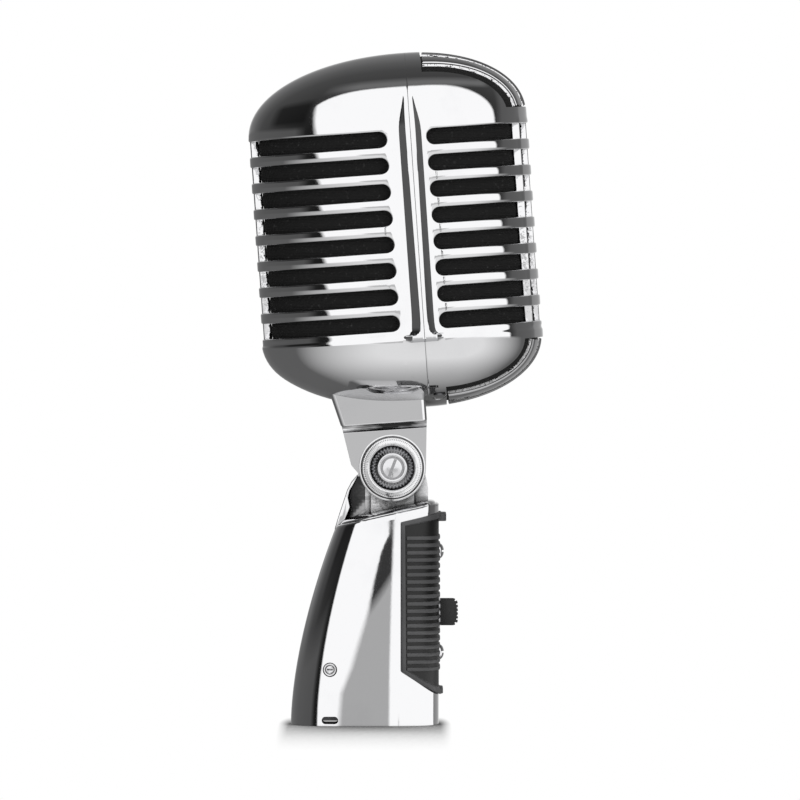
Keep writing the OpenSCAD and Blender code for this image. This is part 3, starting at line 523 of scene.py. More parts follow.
def bowlHeight(x, y):
    # height of the bowl's outer face over a place, y counted from the seam
    low = np.full_like(x, head["low"])
    high = np.full_like(x, bowlBase)
    for _ in range(30):
        z = (low + high) / 2
        half = np.maximum(headReach("side", z, 0), 1e-6)
        reach = np.maximum(np.where(y > 0, headReach("rear", z, 0), headReach("front", z, 0)), 1e-6)
        inside = (np.abs(x) / half) ** head["planPower"] + (np.abs(y) / reach) ** head["planPower"] < 1
        high = np.where(inside, z, high)
        low = np.where(inside, low, z)
    return (low + high) / 2


def makeNeck():
    skirt = addBlock("neckCasting", (-neck["half"], neck["front"], neck["ledge"]),
                     (neck["half"], neck["rear"], neck["ledge"] + neck["high"]))
    bevelEdges(skirt, neck["corner"], 5, isUpright)
    bevelEdges(skirt, neck["ledgeRound"], 3, lambda a, b: max(a.z, b.z) < neck["ledge"] + tiny)
    sliceAt(skirt, [x * 1.3 for x in range(-9, 10)], 0)
    sliceAt(skirt, [neck["front"] + 1.2 * k for k in range(1, 20)], 1)
    top = neck["ledge"] + neck["high"] - 0.1

    def place(x, y, z):
        reach = (y - neck["front"]) / (neck["rear"] - neck["front"])
        lift = (bowlHeight(x, y - head["seam"]) + neck["bite"] - neck["ledge"]) / (top - neck["ledge"])
        z = np.where(z > top, neck["ledge"] + (z - neck["ledge"]) * lift, z)
        y = y + neck["flare"] * reach * (z - neck["ledge"]) / neck["flareRise"]
        return x * (1 + neck["draft"] * z / neck["half"]), y, z
    wrap(skirt, place)

    outline = [(neck["front"], neck["ledge"] + 1)] + arcPoints(neck["earRadius"], 184, 352, 57)
    outline += [(neck["earRear"], neck["earHigh"]), (neck["rear"], neck["ledge"] + 1)]
    pieces = [skirt]
    for side in (-1, 1):
        low, high = sorted((side * neck["earIn"], side * neck["earOut"]))
        ear = addPlate("ear", outline, low, high)
        sliceAt(ear, [0.5 * neck["ledge"]], 2)

        def lean(x, y, z):
            # the outer face leans out as it rises, as a casting's does
            outer = np.abs(x) > neck["earOut"] - tiny
            return x + np.where(outer, side * neck["draft"] * np.maximum(z, 0), 0), y, z
        wrap(ear, lean)
        groove = neck["earOut"] + neck["draft"] * neck["ledge"] + neck["cove"] - neck["coveBite"]
        cutWith(ear, addRod("cove", neck["cove"], -20, 25, axis="Y", sides=40,
                            place=(side * groove, 0, neck["ledge"] - neck["coveDrop"])))
        roundEdges(ear, 0.4, angle=40)
        # painted shade: the cove under the skirt's ledge is marked to go dark
        setValue(ear, "grime", lambda p: abs(p.x) < neck["earOut"] + neck["draft"] * p.z - 0.15
                 and abs(p.x) > neck["earOut"] - 1 and p.z > neck["ledge"] - 2)
        # a low ring round the cup, with a thin dark gap between them
        low, high = sorted((side * (neck["earOut"] - 0.4), side * (neck["earOut"] + neck["ringRise"])))
        ring = addRod("ring", neck["ringOuter"], low, high, sides=96)
        cutWith(ring, addRod("ringBore", neck["ringInner"], low - 1, high + 1, sides=96))
        roundEdges(ring, 0.15, segments=2)
        pieces += [ear, ring]
    return joinPieces("neckCasting", pieces)


# the pivot, round the tilt axis: a cup, a toothed washer and a slotted head on each side
cup = dict(seat=11.35, radius=8.45, height=2.4, inner=6.25, recess=1.4, lip=0.3, foot=0.5, footRound=0.4)


def makeCup(side):
    outer = cup["seat"] + cup["height"]
    piece = addRod(f"cup{side}", cup["radius"], cup["seat"], outer, sides=96)
    openFaces(piece, lambda c, n: n.x > 0.9)
    insetFaces(cup["radius"] - cup["inner"])
    drawFaces(x=-cup["recess"])
    endEdit()
    bevelEdges(piece, cup["lip"], 4, lambda a, b: abs(a.x - outer) < tiny and abs(b.x - outer) < tiny)
    # a narrow step leaves a dark ring on the ear
    openFaces(piece, lambda c, n: n.x < -0.9)
    insetFaces(cup["foot"])
    endEdit()
    bevelEdges(piece, cup["footRound"], 2, lambda a, b: max(a.x, b.x) < cup["seat"] + tiny
               and min(math.hypot(a.y, a.z), math.hypot(b.y, b.z)) > cup["radius"] - 0.1)
    return mirrored(piece, side)


washer = dict(seat=12.35, thickness=0.35, radius=6.1, inner=3.9, rim=0.35, rise=1.9,
              teeth=36, toothRise=0.07, toothFlat=1.6, notch=0.025)


def makeWasher(side):
    # a coned lock washer with fine teeth on its slope
    radius, inner = washer["radius"], washer["inner"]
    piece = addRod(f"toothedWasher{side}", radius, washer["seat"], washer["seat"] + washer["thickness"],
                   sides=washer["teeth"] * 6)
    openFaces(piece, lambda c, n: n.x > 0.9)
    insetFaces(washer["rim"])
    insetFaces(radius - inner - washer["rim"])
    endEdit()

    def place(x, y, z):
        out = np.hypot(y, z)
        slope = np.clip((radius - out) / (radius - inner), 0, 1)
        tooth = np.clip(washer["toothFlat"] * np.cos(np.arctan2(z, y) * washer["teeth"]), -1, 1)
        raised = washer["rise"] * slope + washer["toothRise"] * tooth * (out > inner + 0.1)
        x = x + np.where(x > washer["seat"] + 0.1, raised, 0)
        edge = 1 + np.where(out > radius - 0.1, washer["notch"] * tooth, 0)
        return x, y * edge, z * edge
    wrap(piece, place)
    return mirrored(piece, side)


bolt = dict(seat=12.85, sunk=0.4, radius=4.2, height=2.2, disc=2.8, groove=0.45, grooveDeep=0.9,
            discRise=0.55, round=0.22, slotHalf=0.4, slotDeep=1.3, slotTurn=25, shank=2.5)


def makeBoltHead(side):
    # a rim, a groove and a slotted disc
    top = bolt["seat"] + bolt["height"]
    piece = addRod(f"boltHead{side}", bolt["radius"], bolt["seat"] - bolt["sunk"], top, sides=72)
    openFaces(piece, lambda c, n: n.x > 0.9)
    insetFaces(bolt["radius"] - bolt["disc"] - bolt["groove"])
    drawFaces(x=-bolt["grooveDeep"])
    insetFaces(bolt["groove"])
    drawFaces(x=bolt["discRise"])
    endEdit()
    roundEdges(piece, bolt["round"])
    reach = bolt["disc"] - 0.2
    driver = addBlock("driverSlot", (top - bolt["slotDeep"], -bolt["slotHalf"], -reach),
                      (top + 1, bolt["slotHalf"], reach))
    cutWith(piece, settle(driver, Matrix.Rotation(math.radians(bolt["slotTurn"]), 4, "X")))
    return mirrored(piece, side)


def makeShank():
    shank = addRod("boltShank", bolt["shank"], -bolt["seat"], bolt["seat"])
    roundEdges(shank, 0.15)
    return shank


# the base: a tapered housing, cut by a sloping rim, with a shoulder and the lug on top
base = dict(width=38, front=11.7, rear=29.8, rearTaper=12.4, sideTaper=4.8, taperPower=1.68,
            taperHeight=54.4, corner=4, rim=62, slope=12.6, wall=2.2, topWall=3.5, rimRound=0.8)
# the shoulder is drawn up in steps, to these shares of the top face's width and depth
shoulder = dict(height=1.3, inset=0.15, wide=0.52, deep=0.76, steps=6, turn=88)
setScrew = dict(y=18.7, z=15.7, radius=1.75, clear=0.25, inset=0.15, rim=0.4, groove=0.3, grooveDeep=0.5,
                discRise=0.45, slotLong=0.8, slotHalf=0.2, slotDeep=0.7)
latch = dict(y=17.45, z=1.6, radius=1.05, long=2.5)
rimSlope = math.tan(math.radians(base["slope"]))


def rimAt(y):
    return base["rim"] - (y + base["front"]) * rimSlope


def baseReach(z, inset):
    slim = (np.maximum(z, 0) / base["taperHeight"]) ** base["taperPower"]
    half = base["width"] / 2 - base["sideTaper"] * slim - inset
    rear = base["rear"] - base["rearTaper"] * slim - inset
    return half, rear, base["front"] - inset


def sideAt(y, z):
    # half the width of the housing at a place on its side
    half, rear, front = baseReach(z, 0)
    off = abs(y - (rear - front) / 2) / ((rear + front) / 2)
    return half * (1 - off ** base["corner"]) ** (1 / base["corner"])


def baseOutline():
    # turn against length round the foot, from the right side over the back
    turn = np.linspace(0, 2 * math.pi, 8001)
    half, rear, front = baseReach(0, 0)
    x = half * squared(np.cos(turn), base["corner"])
    y = (rear + front) / 2 * squared(np.sin(turn), base["corner"])
    length = runLength(x, y)
    return dict(turn=turn, length=length, total=length[-1])


foot = baseOutline()


def onBase(s, inset, z):
    turn = np.interp(np.mod(s, foot["total"]), foot["length"], foot["turn"])
    half, rear, front = baseReach(z, inset)
    x = half * squared(np.cos(turn), base["corner"])
    y = (rear - front) / 2 + (rear + front) / 2 * squared(np.sin(turn), base["corner"])
    return x, y


def baseSurface(inset):
    def place(x, y, z):
        share = np.mod(np.arctan2(y, x) / (2 * math.pi), 1)
        centre = np.hypot(x, y) < 0.5
        x, y = onBase(share * foot["total"], inset, z)
        return np.where(centre, 0, x), np.where(centre, 5, y), z
    return place


def baseColumn(name, inset, low, lift):
    # a closed column on the housing's outline, cut off along the sloping rim
    high = base["rim"] + 4
    column = addRod(name, 15, low, high, axis="Z", sides=160)
    sliceAt(column, np.arange(max(low, 0) + 2, high - 1, 2.2), 2)
    wrap(column, baseSurface(inset))
    openMesh(column)
    slope = math.radians(base["slope"])
    bpy.ops.mesh.bisect(plane_co=(0, -base["front"] * mm, (base["rim"] + lift) * mm),
                        plane_no=(0, math.sin(slope), math.cos(slope)), clear_outer=True, use_fill=True)
    endOutwards()
    return column


def onRim(point):
    return abs(point.z - rimAt(point.y)) < 0.02


def makeHousing():
    housing = baseColumn("baseHousing", 0, 0, 0)
    bevelEdges(housing, base["rimRound"], 4, lambda a, b: onRim(a) and onRim(b))
    openFaces(housing, lambda c, n: n.z > 0.9 and onRim(c))
    insetFaces(shoulder["inset"])
    middle = (baseReach(base["rim"] - 2, 0)[1] - base["front"]) / 2
    wide, deep, rise = 1, 1, 0
    for k in range(1, shoulder["steps"] + 1):
        before = (wide, deep, rise)
        turn = math.radians(shoulder["turn"] * k / shoulder["steps"])
        wide, deep = (shoulder[key] + (1 - shoulder[key]) * math.cos(turn) for key in ("wide", "deep"))
        rise = shoulder["height"] * math.sin(turn)
        drawFaces(z=rise - before[2])
        bpy.ops.transform.resize(value=(wide / before[0], deep / before[1], deep / before[1]),
                                 center_override=(0, middle * mm, (rimAt(middle) + rise) * mm))
    endEdit()
    cutWith(housing, baseColumn("hollow", base["wall"], -1, -base["topWall"]))
    cutWith(housing, addRod("setScrewHole", setScrew["radius"] + setScrew["clear"], -22, -12, sides=40,
                            place=(0, setScrew["y"], setScrew["z"])))
    notch = addRod("latchNotch", latch["radius"], -22, -12, sides=32, place=(0, latch["y"], latch["z"]))
    movePoints(notch, lambda p: p.y > latch["y"] + tiny, y=latch["long"])
    cutWith(housing, notch)
    cleanMesh(housing)
    return housing


# the lug: a web, a pad on each side and a flange behind, as outlines in Y and Z from the tilt axis
lug = dict(half=6.4, radius=9.2, front=-10, bendFrom=7.6, close=0.42, slant=-9, sink=0.2, flangeHalf=5.2,
           padHalf=7.4, padRadius=8, padWidth=12.4, padRound=0.35, padMottle=0.35,
           slantPace=1.2, prow=0.15, prowMore=0.2, prowFrom=4, prowOver=13,
           rear=[(16.2, -17.4), (14.9, -13.2), (13.7, -9.6), (12.7, -6.6), (11.5, -4.3), (9.9, -2.4)],
           inner=[(9.6, -2.6), (12.0, -6.6), (12.5, -8.6), (11.9, -11.3), (13.0, -14), (14.3, -17.4)])


def makeLug():
    rim = rimAt(tilt["back"]) - tilt["height"]
    outline = [(lug["front"] + 0.3, -4), (lug["front"], -6), (lug["front"], rim - 3)]
    outline += [(lug["rear"][0][0], rim - 5.5)] + lug["rear"] + arcPoints(lug["radius"], -8, 190, 70)
    web = addPlate("lugWeb", outline, -lug["half"], lug["half"])
    sliceAt(web, [lug["bendFrom"] + 0.8 * k for k in range(10)], 1)
    sliceAt(web, [-0.9 * k for k in range(3, 22)], 2)
    sliceAt(web, [0], 0)

    def narrow(x, y, z):
        # behind the pads the sides close in, more so below a slanting line, and the back is a low prow
        back = y - lug["bendFrom"]
        behind = np.maximum(back, 0) * (z < -1)
        below = np.maximum(lug["slant"] - lug["slantPace"] * back - z, 0) * (back > 0)
        prow = lug["prow"] + lug["prowMore"] * np.clip((-z - lug["prowFrom"]) / lug["prowOver"], 0, 1)
        x = x * (1 - (behind * lug["close"] + below * lug["sink"]) / lug["half"])
        return x, y - np.where(behind > 0.5, np.abs(x) * prow, 0), z
    wrap(web, narrow)
    flange = addPlate("lugFlange", lug["rear"] + lug["inner"], -lug["flangeHalf"], lug["flangeHalf"])
    roundEdges(flange, 0.2, angle=32)
    pieces = [web, flange]
    edge = lug["padWidth"] / 2
    outline = [(-edge, rim - 2), (edge, rim - 2)] + arcPoints(lug["padRadius"], -39, 219, 60)
    for low, high in ((-lug["padHalf"], 1 - lug["half"]), (lug["half"] - 1, lug["padHalf"])):
        pad = addPlate("lugPad", outline, low, high)
        roundEdges(pad, lug["padRound"], angle=40)
        setValue(pad, "mottle", lambda p: lug["padMottle"])
        pieces.append(pad)
    piece = joinPieces("lug", pieces)
    # all of the lug takes the painted shadow in its deep corners
    setValue(piece, "under", lambda p: 1)
    return settle(piece, pivotPlace)


# the switch panel: a plate that wraps round the front, with a bezel and level ribs
panel = dict(wrap=10.7, top=59.2, low=8.6, topSlope=13, lowSlope=32, bezel=1.4, bezelHigh=0.03, rise=0.7,
             margin=0.25, sunk=0.3, pitch=2.03, rib=1.15, ribRise=0.42, ribRound=0.3, ribSpare=12, middle=34,
             columns=34, rows=24)
lips = dict(width=14, round=1.2, upper=dict(z=panel["top"] - 2.4, height=2.2, reach=2.1),
            lower=dict(z=panel["low"] - 0.2, height=1.6, reach=1.2))
frontLength = float(np.interp(1.5 * math.pi, foot["turn"], foot["length"]))


def panelEdge(y, upper, inset=0):
    # height of the panel's upper or lower edge at a place seen from the side
    back = y + base["front"]
    if upper:
        return panel["top"] - inset - back * math.tan(math.radians(panel["topSlope"]))
    return panel["low"] + inset + back * math.tan(math.radians(panel["lowSlope"]))


def reachBack(y, z):
    # how far along the housing's outline from its front a place on the side is
    s = np.linspace(0, foot["total"] / 2 - 1, 900)
    _, along = onBase(frontLength + s, 0, z)
    return float(np.interp(y, along, s))


def panelSurface(wrapTo, inset):
    # across runs from -1 to 1 round the front, and up from 0 to 1 up the panel
    def place(across, depth, up):
        back = wrapTo - base["front"]
        z = np.full(len(up), panel["middle"])
        for _ in range(4):
            s = np.array([reachBack(back, h) for h in z]) * across
            x, y = onBase(frontLength + s, depth, z)
            low, high = panelEdge(y, False, inset), panelEdge(y, True, inset)
            z = low + (high - low) * up
        return x, y, z
    return place


def sliceUnit(obj):
    # edge loops in a block that runs from -1 to 1 round the front, and from 0 to 1 up the panel
    columns, rows = panel["columns"], panel["rows"]
    sliceAt(obj, [2 * (k + 0.5) / columns - 1 for k in range(columns)], 0)
    sliceAt(obj, [k / rows for k in range(1, rows)], 2)


def makePanel():
    plate = addBlock("switchPanel", (-1, -0.05, 0), (1, 0.95, 1))
    sliceUnit(plate)
    wrap(plate, panelSurface(panel["wrap"] - panel["sunk"], panel["sunk"]))
    pieces = [makeBezel()]
    count = int((panel["top"] - panel["low"] - panel["ribSpare"]) / panel["pitch"])
    pieces += [makePanelRib(panel["middle"] + (k - (count - 1) / 2) * panel["pitch"]) for k in range(count)]
    pieces += [makeLip(**lips[end]) for end in ("upper", "lower")]
    # the raised parts get 1, and the plate between them keeps the painted shade of the grooves
    for piece in pieces:
        setValue(piece, "shade", lambda p: 1)
    return joinPieces("switchPanel", [plate] + pieces)


def makeBezel():
    # a flat frame of four bars, bent round the housing
    bezel = addBlock("bezel", (-1, -panel["rise"], 0), (1, 0.9, 1))
    openFaces(bezel, lambda c, n: n.y < -0.9)
    insetFaces(0.02)
    drawFaces(y=panel["rise"] - 0.02)
    endEdit()
    inner = 1 - panel["bezel"] / reachBack(panel["wrap"] - base["front"], panel["middle"])
    level = panel["bezelHigh"]

    def widen(x, y, z):
        inside = (np.abs(x) < 0.995) & (z > 0.005) & (z < 0.995)
        x = np.where(inside, np.sign(x) * inner, x)
        return x, y, np.where(inside, np.where(z > 0.5, 1 - level, level), z)
    wrap(bezel, widen)
    sliceUnit(bezel)
    wrap(bezel, panelSurface(panel["wrap"], 0))
    roundEdges(bezel, 0.25, segments=2, angle=55)
    return bezel


def makePanelRib(z):
    half = panel["rib"] / 2
    span = reachBack(panel["wrap"] - base["front"] - panel["bezel"] - panel["margin"], z)
    rib = addBlock("panelRib", (-span, -panel["ribRise"], z - half), (span, 0.4, z + half))
    bevelEdges(rib, panel["ribRound"], 2, lambda a, b: max(a.y, b.y) < 0 and abs(a.x - b.x) > 1)
    sliceAt(rib, np.linspace(-span, span, 34)[1:-1], 0)

    def place(along, depth, z):
        x, y = onBase(frontLength + along, depth, z)
        return x, y, z
    wrap(rib, place)
    return rib


def makeLip(z, height, reach):
    # a short shelf across the front, at one end of the panel
    half, front = lips["width"] / 2, -base["front"]
    lip = addBlock("lip", (-half, front - reach, z), (half, front + 0.8, z + height))
    bevelEdges(lip, lips["round"], 4, lambda a, b: isUpright(a, b) and a.y < front - 0.5)
    roundEdges(lip, 0.25, segments=2)
    return lip


# the slide switch's knob on its stem, and the screws of the panel
knob = dict(height=7.4, width=6.6, out=5, middle=31.1, face=-12.1, nose=1.5, grooves=7, groove=0.34,
            stemHalf=1.5, stemHigh=1.7, stemEnd=-7.4)


def makeKnob():
    halfHigh, halfWide, middle = knob["height"] / 2, knob["width"] / 2, knob["middle"]
    end = knob["face"] - knob["out"]
    piece = addBlock("switchKnob", (-halfWide, end, middle - halfHigh),
                     (halfWide, knob["face"], middle + halfHigh))
    bevelEdges(piece, knob["nose"], 5, lambda a, b: abs(a.x - b.x) > 1 and max(a.y, b.y) < end + tiny)
    roundEdges(piece, 0.2, segments=2)
    for k in range(knob["grooves"]):
        z = middle - halfHigh + (k + 0.5) * knob["height"] / knob["grooves"]
        back = knob["nose"] * max(0, abs(z - middle) / halfHigh - 0.45)
        cutWith(piece, addRod("groove", knob["groove"], -knob["width"], knob["width"], sides=16,
                              place=(0, end + back, z)))
    stem = addBlock("stem", (-knob["stemHalf"], knob["face"] - 0.2, middle - knob["stemHigh"]),
                    (knob["stemHalf"], knob["stemEnd"], middle + knob["stemHigh"]))
    roundEdges(stem, 0.15, segments=2)
    return joinPieces("switchKnob", [piece, stem])


panelScrew = dict(apart=14.2, radius=2.15, flat=0.62, sunk=0.15, slotHalf=0.28, slotFloor=0.9, shank=1.2)


def makePanelScrew(z):
    # a low dome with a slot, proud of the ribs
    front = -base["front"]
    centre = (0, (front - panelScrew["sunk"]) * mm, z * mm)
    screw = addShape("uv_sphere", "panelScrew", segments=40, ring_count=20, radius=panelScrew["radius"] * mm,
                     location=centre)
    openMesh(settle(screw))
    bpy.ops.transform.resize(value=(1, panelScrew["flat"], 1), center_override=centre)
    bpy.ops.mesh.bisect(plane_co=(0, (front - 0.1) * mm, 0), plane_no=(0, 1, 0), clear_outer=True,
                        use_fill=True)
    endEdit()
    half, floor = panelScrew["slotHalf"], front - panelScrew["slotFloor"]
    cutWith(screw, addBlock("screwSlot", (-3, front - 2, z - half), (3, floor, z + half)))
    body = addRod("screwBody", panelScrew["shank"], front - 0.2, front + 6, axis="Y", sides=24,
                  place=(0, 0, z))
    return joinPieces("panelScrew", [screw, body])


def makeSetScrew():
    # a rim, a groove and a slotted disc
    y, z = setScrew["y"], setScrew["z"]
    end = -sideAt(y, z) + setScrew["inset"]
    screw = addRod("setScrew", setScrew["radius"], end, -6.4, sides=40, place=(0, y, z))
    openFaces(screw, lambda c, n: n.x < -0.9)
    insetFaces(setScrew["rim"])
    drawFaces(x=setScrew["grooveDeep"])
    insetFaces(setScrew["groove"])
    drawFaces(x=-setScrew["discRise"])
    endEdit()
    long, half, floor = setScrew["slotLong"], setScrew["slotHalf"], end + setScrew["slotDeep"]
    cutWith(screw, addBlock("setSlot", (end - 1, y - long, z - half), (floor, y + long, z + half)))
    roundEdges(screw, 0.1, segments=2)
    return screw


# shaders: sockets that can be reckoned with, and one way to add any node
class Wire:
    def __init__(self, paint, socket):
        self.paint = paint
        self.socket = socket

    def __add__(self, other):
        return self.paint.reckon("ADD", self, other)

    def __radd__(self, other):
        return self.paint.reckon("ADD", other, self)

    def __sub__(self, other):
        return self.paint.reckon("SUBTRACT", self, other)

    def __rsub__(self, other):
        return self.paint.reckon("SUBTRACT", other, self)

    def __mul__(self, other):
        return self.paint.reckon("MULTIPLY", self, other)

    def __rmul__(self, other):
        return self.paint.reckon("MULTIPLY", other, self)

    def __truediv__(self, other):
        return self.paint.reckon("DIVIDE", self, other)

    def __rtruediv__(self, other):
        return self.paint.reckon("DIVIDE", other, self)

    def __pow__(self, other):
        return self.paint.reckon("POWER", self, other)


class Paint:
    def __init__(self, name, tree=None):
        if tree is None:
            self.material = bpy.data.materials.new(name)
            self.material.use_nodes = True
            tree = self.material.node_tree
            tree.nodes.clear()
        self.tree = tree

    def node(self, kind, settings=None, inputs=None, out=0):
        made = self.tree.nodes.new("ShaderNode" + kind)
        for key, value in (settings or {}).items():
            if key == "stops":
                self.setStops(made.color_ramp, value)
            else:
                setattr(made, key, value)
        for key, value in (inputs or {}).items():
            if isinstance(value, Wire):
                self.tree.links.new(value.socket, made.inputs[key])
            else:
                made.inputs[key].default_value = value
        return Wire(self, made.outputs[out]) if made.outputs else None

    def setStops(self, ramp, stops):
        while len(ramp.elements) < len(stops):
            ramp.elements.new(1)
        for element, (at, grey) in zip(ramp.elements, stops):
            element.position = at
            element.color = (grey, grey, grey, 1)

    def reckon(self, operation, a, b=0.0):
        return self.node("Math", dict(operation=operation), {0: a, 1: b})

    def larger(self, a, b):
        return self.reckon("MAXIMUM", a, b)

    def split(self, vector):
        parts = self.node("SeparateXYZ", None, {0: vector}).socket.node.outputs
        return [Wire(self, part) for part in parts]

    def place(self, scale=(1, 1, 1)):
        spot = self.node("TexCoord", out="Object")
        return self.node("Mapping", None, {"Vector": spot, "Scale": scale})

    def noise(self, scale, detail=3.0, roughness=0.5, stretch=(1, 1, 1)):
        return self.node("TexNoise", None, {"Vector": self.place(stretch), "Scale": scale,
                                            "Detail": detail, "Roughness": roughness})

    def between(self, low, high, value):
        # value, clipped to 0 at low and to 1 at high
        return self.node("MapRange", None, {0: value, 1: low, 2: high})

    def within(self, value, edges):
        # 1 where the value has crossed every edge, each from where it begins to where it is full
        share = 1.0
        for begins, full in edges:
            share = share * self.between(begins, full, value)
        return share

    def blend(self, share, first, second):
        first, second = (c + (1,) if isinstance(c, tuple) else c for c in (first, second))
        return self.node("Mix", dict(data_type="RGBA"), {0: share, 6: first, 7: second}, out=2)

    def pointValue(self, name):
        return self.node("Attribute", dict(attribute_name=name), out="Fac")

    def openness(self, distance):
        # 1 in the open, and less in a corner
        return self.node("AmbientOcclusion", dict(samples=8), {"Distance": distance * mm}, out="AO")

    def paintNookShade(self, colour, distance):
        # painted shade: a face darkens by how little is open around it within the distance
        return self.blend(self.between(0.3, 0.62, self.openness(distance)), (0.02, 0.02, 0.02), colour)

    def bump(self, height, depth):
        return self.node("Bump", None, {"Height": height, "Distance": depth * mm, "Strength": 1.0})

    def finish(self, shader):
        self.node("OutputMaterial", None, {"Surface": shader})
        return self.material

    def finishSurface(self, colour, rough, normal, metal=0.0):
        return self.finish(self.node("BsdfPrincipled", None, {
            "Base Color": colour, "Metallic": metal, "Roughness": rough, "Normal": normal}))


def chromePaint(name, **look):
    # bright plating on a casting: faint waviness, smudges and hairlines
    paint = Paint(name)
    smudge = paint.noise(look["smudge"], detail=5, roughness=0.6)
    fine = paint.noise(look["fine"], detail=2)
    hairs = paint.noise(700, detail=2, stretch=(1, 1, 0.06))
    worn = paint.between(0.52, 0.75, smudge)
    rough = look["rough"] + look["roughSpread"] * worn + 0.02 * paint.between(0.55, 0.8, hairs)
    colour = paint.paintNookShade(paint.blend(worn, look["bright"], look["dull"]), look["nook"])
    if "wide" in look:
        # painted shadow: marked points go dark where little is open within the wide distance
        wide = paint.between(*look["shadowFrom"], paint.openness(look["wide"]))
        colour = paint.blend(paint.pointValue("under") * wide, colour, look["shadow"])
    # painted shade in the cove under the neck's ledge, broken into streaks
    streaks = paint.between(0.3, 0.55, paint.noise(500, roughness=0.6, stretch=(1, 0.15, 1)))
    colour = paint.blend(paint.pointValue("grime") * streaks, colour, (0.03, 0.03, 0.03))
    swell = paint.noise(look["wave"], detail=1, roughness=0.4)
    cast = paint.noise(look["cast"], detail=2) * paint.pointValue("mottle") * look["castDepth"]
    normal = paint.bump(swell * look["waveDepth"] + fine * 0.15 + cast, 0.02)
    return paint.finishSurface(colour, rough, normal, metal=1.0)


def metalPaint(name, stretch=(1, 1, 1), metal=1.0, **look):
    # turned, cast or plated metal: grain, drawn out along one axis if stretched, and stains
    paint = Paint(name)
    grain = paint.noise(look["grain"], detail=4, roughness=0.6, stretch=stretch)
    stain = paint.between(0.35, 0.7, paint.noise(60, detail=4, roughness=0.6))
    colour = paint.blend(stain, look["bright"], look["dull"])
    if "nook" in look:
        colour = paint.paintNookShade(colour, look["nook"])
    rough = look["rough"] + look["roughSpread"] * grain
    return paint.finishSurface(colour, rough, paint.bump(grain, look["depth"]), metal)


def plasticPaint(name, **look):
    # moulded plastic: fine spark-eroded grain, rubbed paler and smoother in patches
    paint = Paint(name)
    grain = paint.noise(look["grain"], roughness=0.6)
    rubbed = paint.between(0.5, 0.72, paint.noise(55, detail=4, roughness=0.6))
    colour = paint.blend(rubbed, look["dark"], look["pale"])
    # painted shade: between the ribs the plate takes the much darker groove colour
    if "groove" in look:
        colour = paint.blend(paint.pointValue("shade"), look["groove"], colour)
    rough = look["rough"] - look["rub"] * rubbed + 0.08 * grain
    return paint.finishSurface(colour, rough, paint.bump(grain, look["depth"]))


def clothPaint(name):
    # black weave: crossed threads, a little dust
    paint = Paint(name)
    place = paint.place()
    weave = 0.0
    for way, scale in (("Z", 420.0), ("DIAGONAL", 300.0)):
        threads = paint.node("TexWave", dict(bands_direction=way), {
            "Vector": place, "Scale": scale, "Distortion": 0.6})
        weave = weave + threads * 0.5
    dust = paint.between(0.62, 0.8, paint.noise(900, detail=2, roughness=0.7))
    colour = paint.blend(dust, (0.006, 0.006, 0.006), (0.05, 0.05, 0.05))
    return paint.finishSurface(colour, 0.9, paint.bump(weave, 0.15))


print("paints")
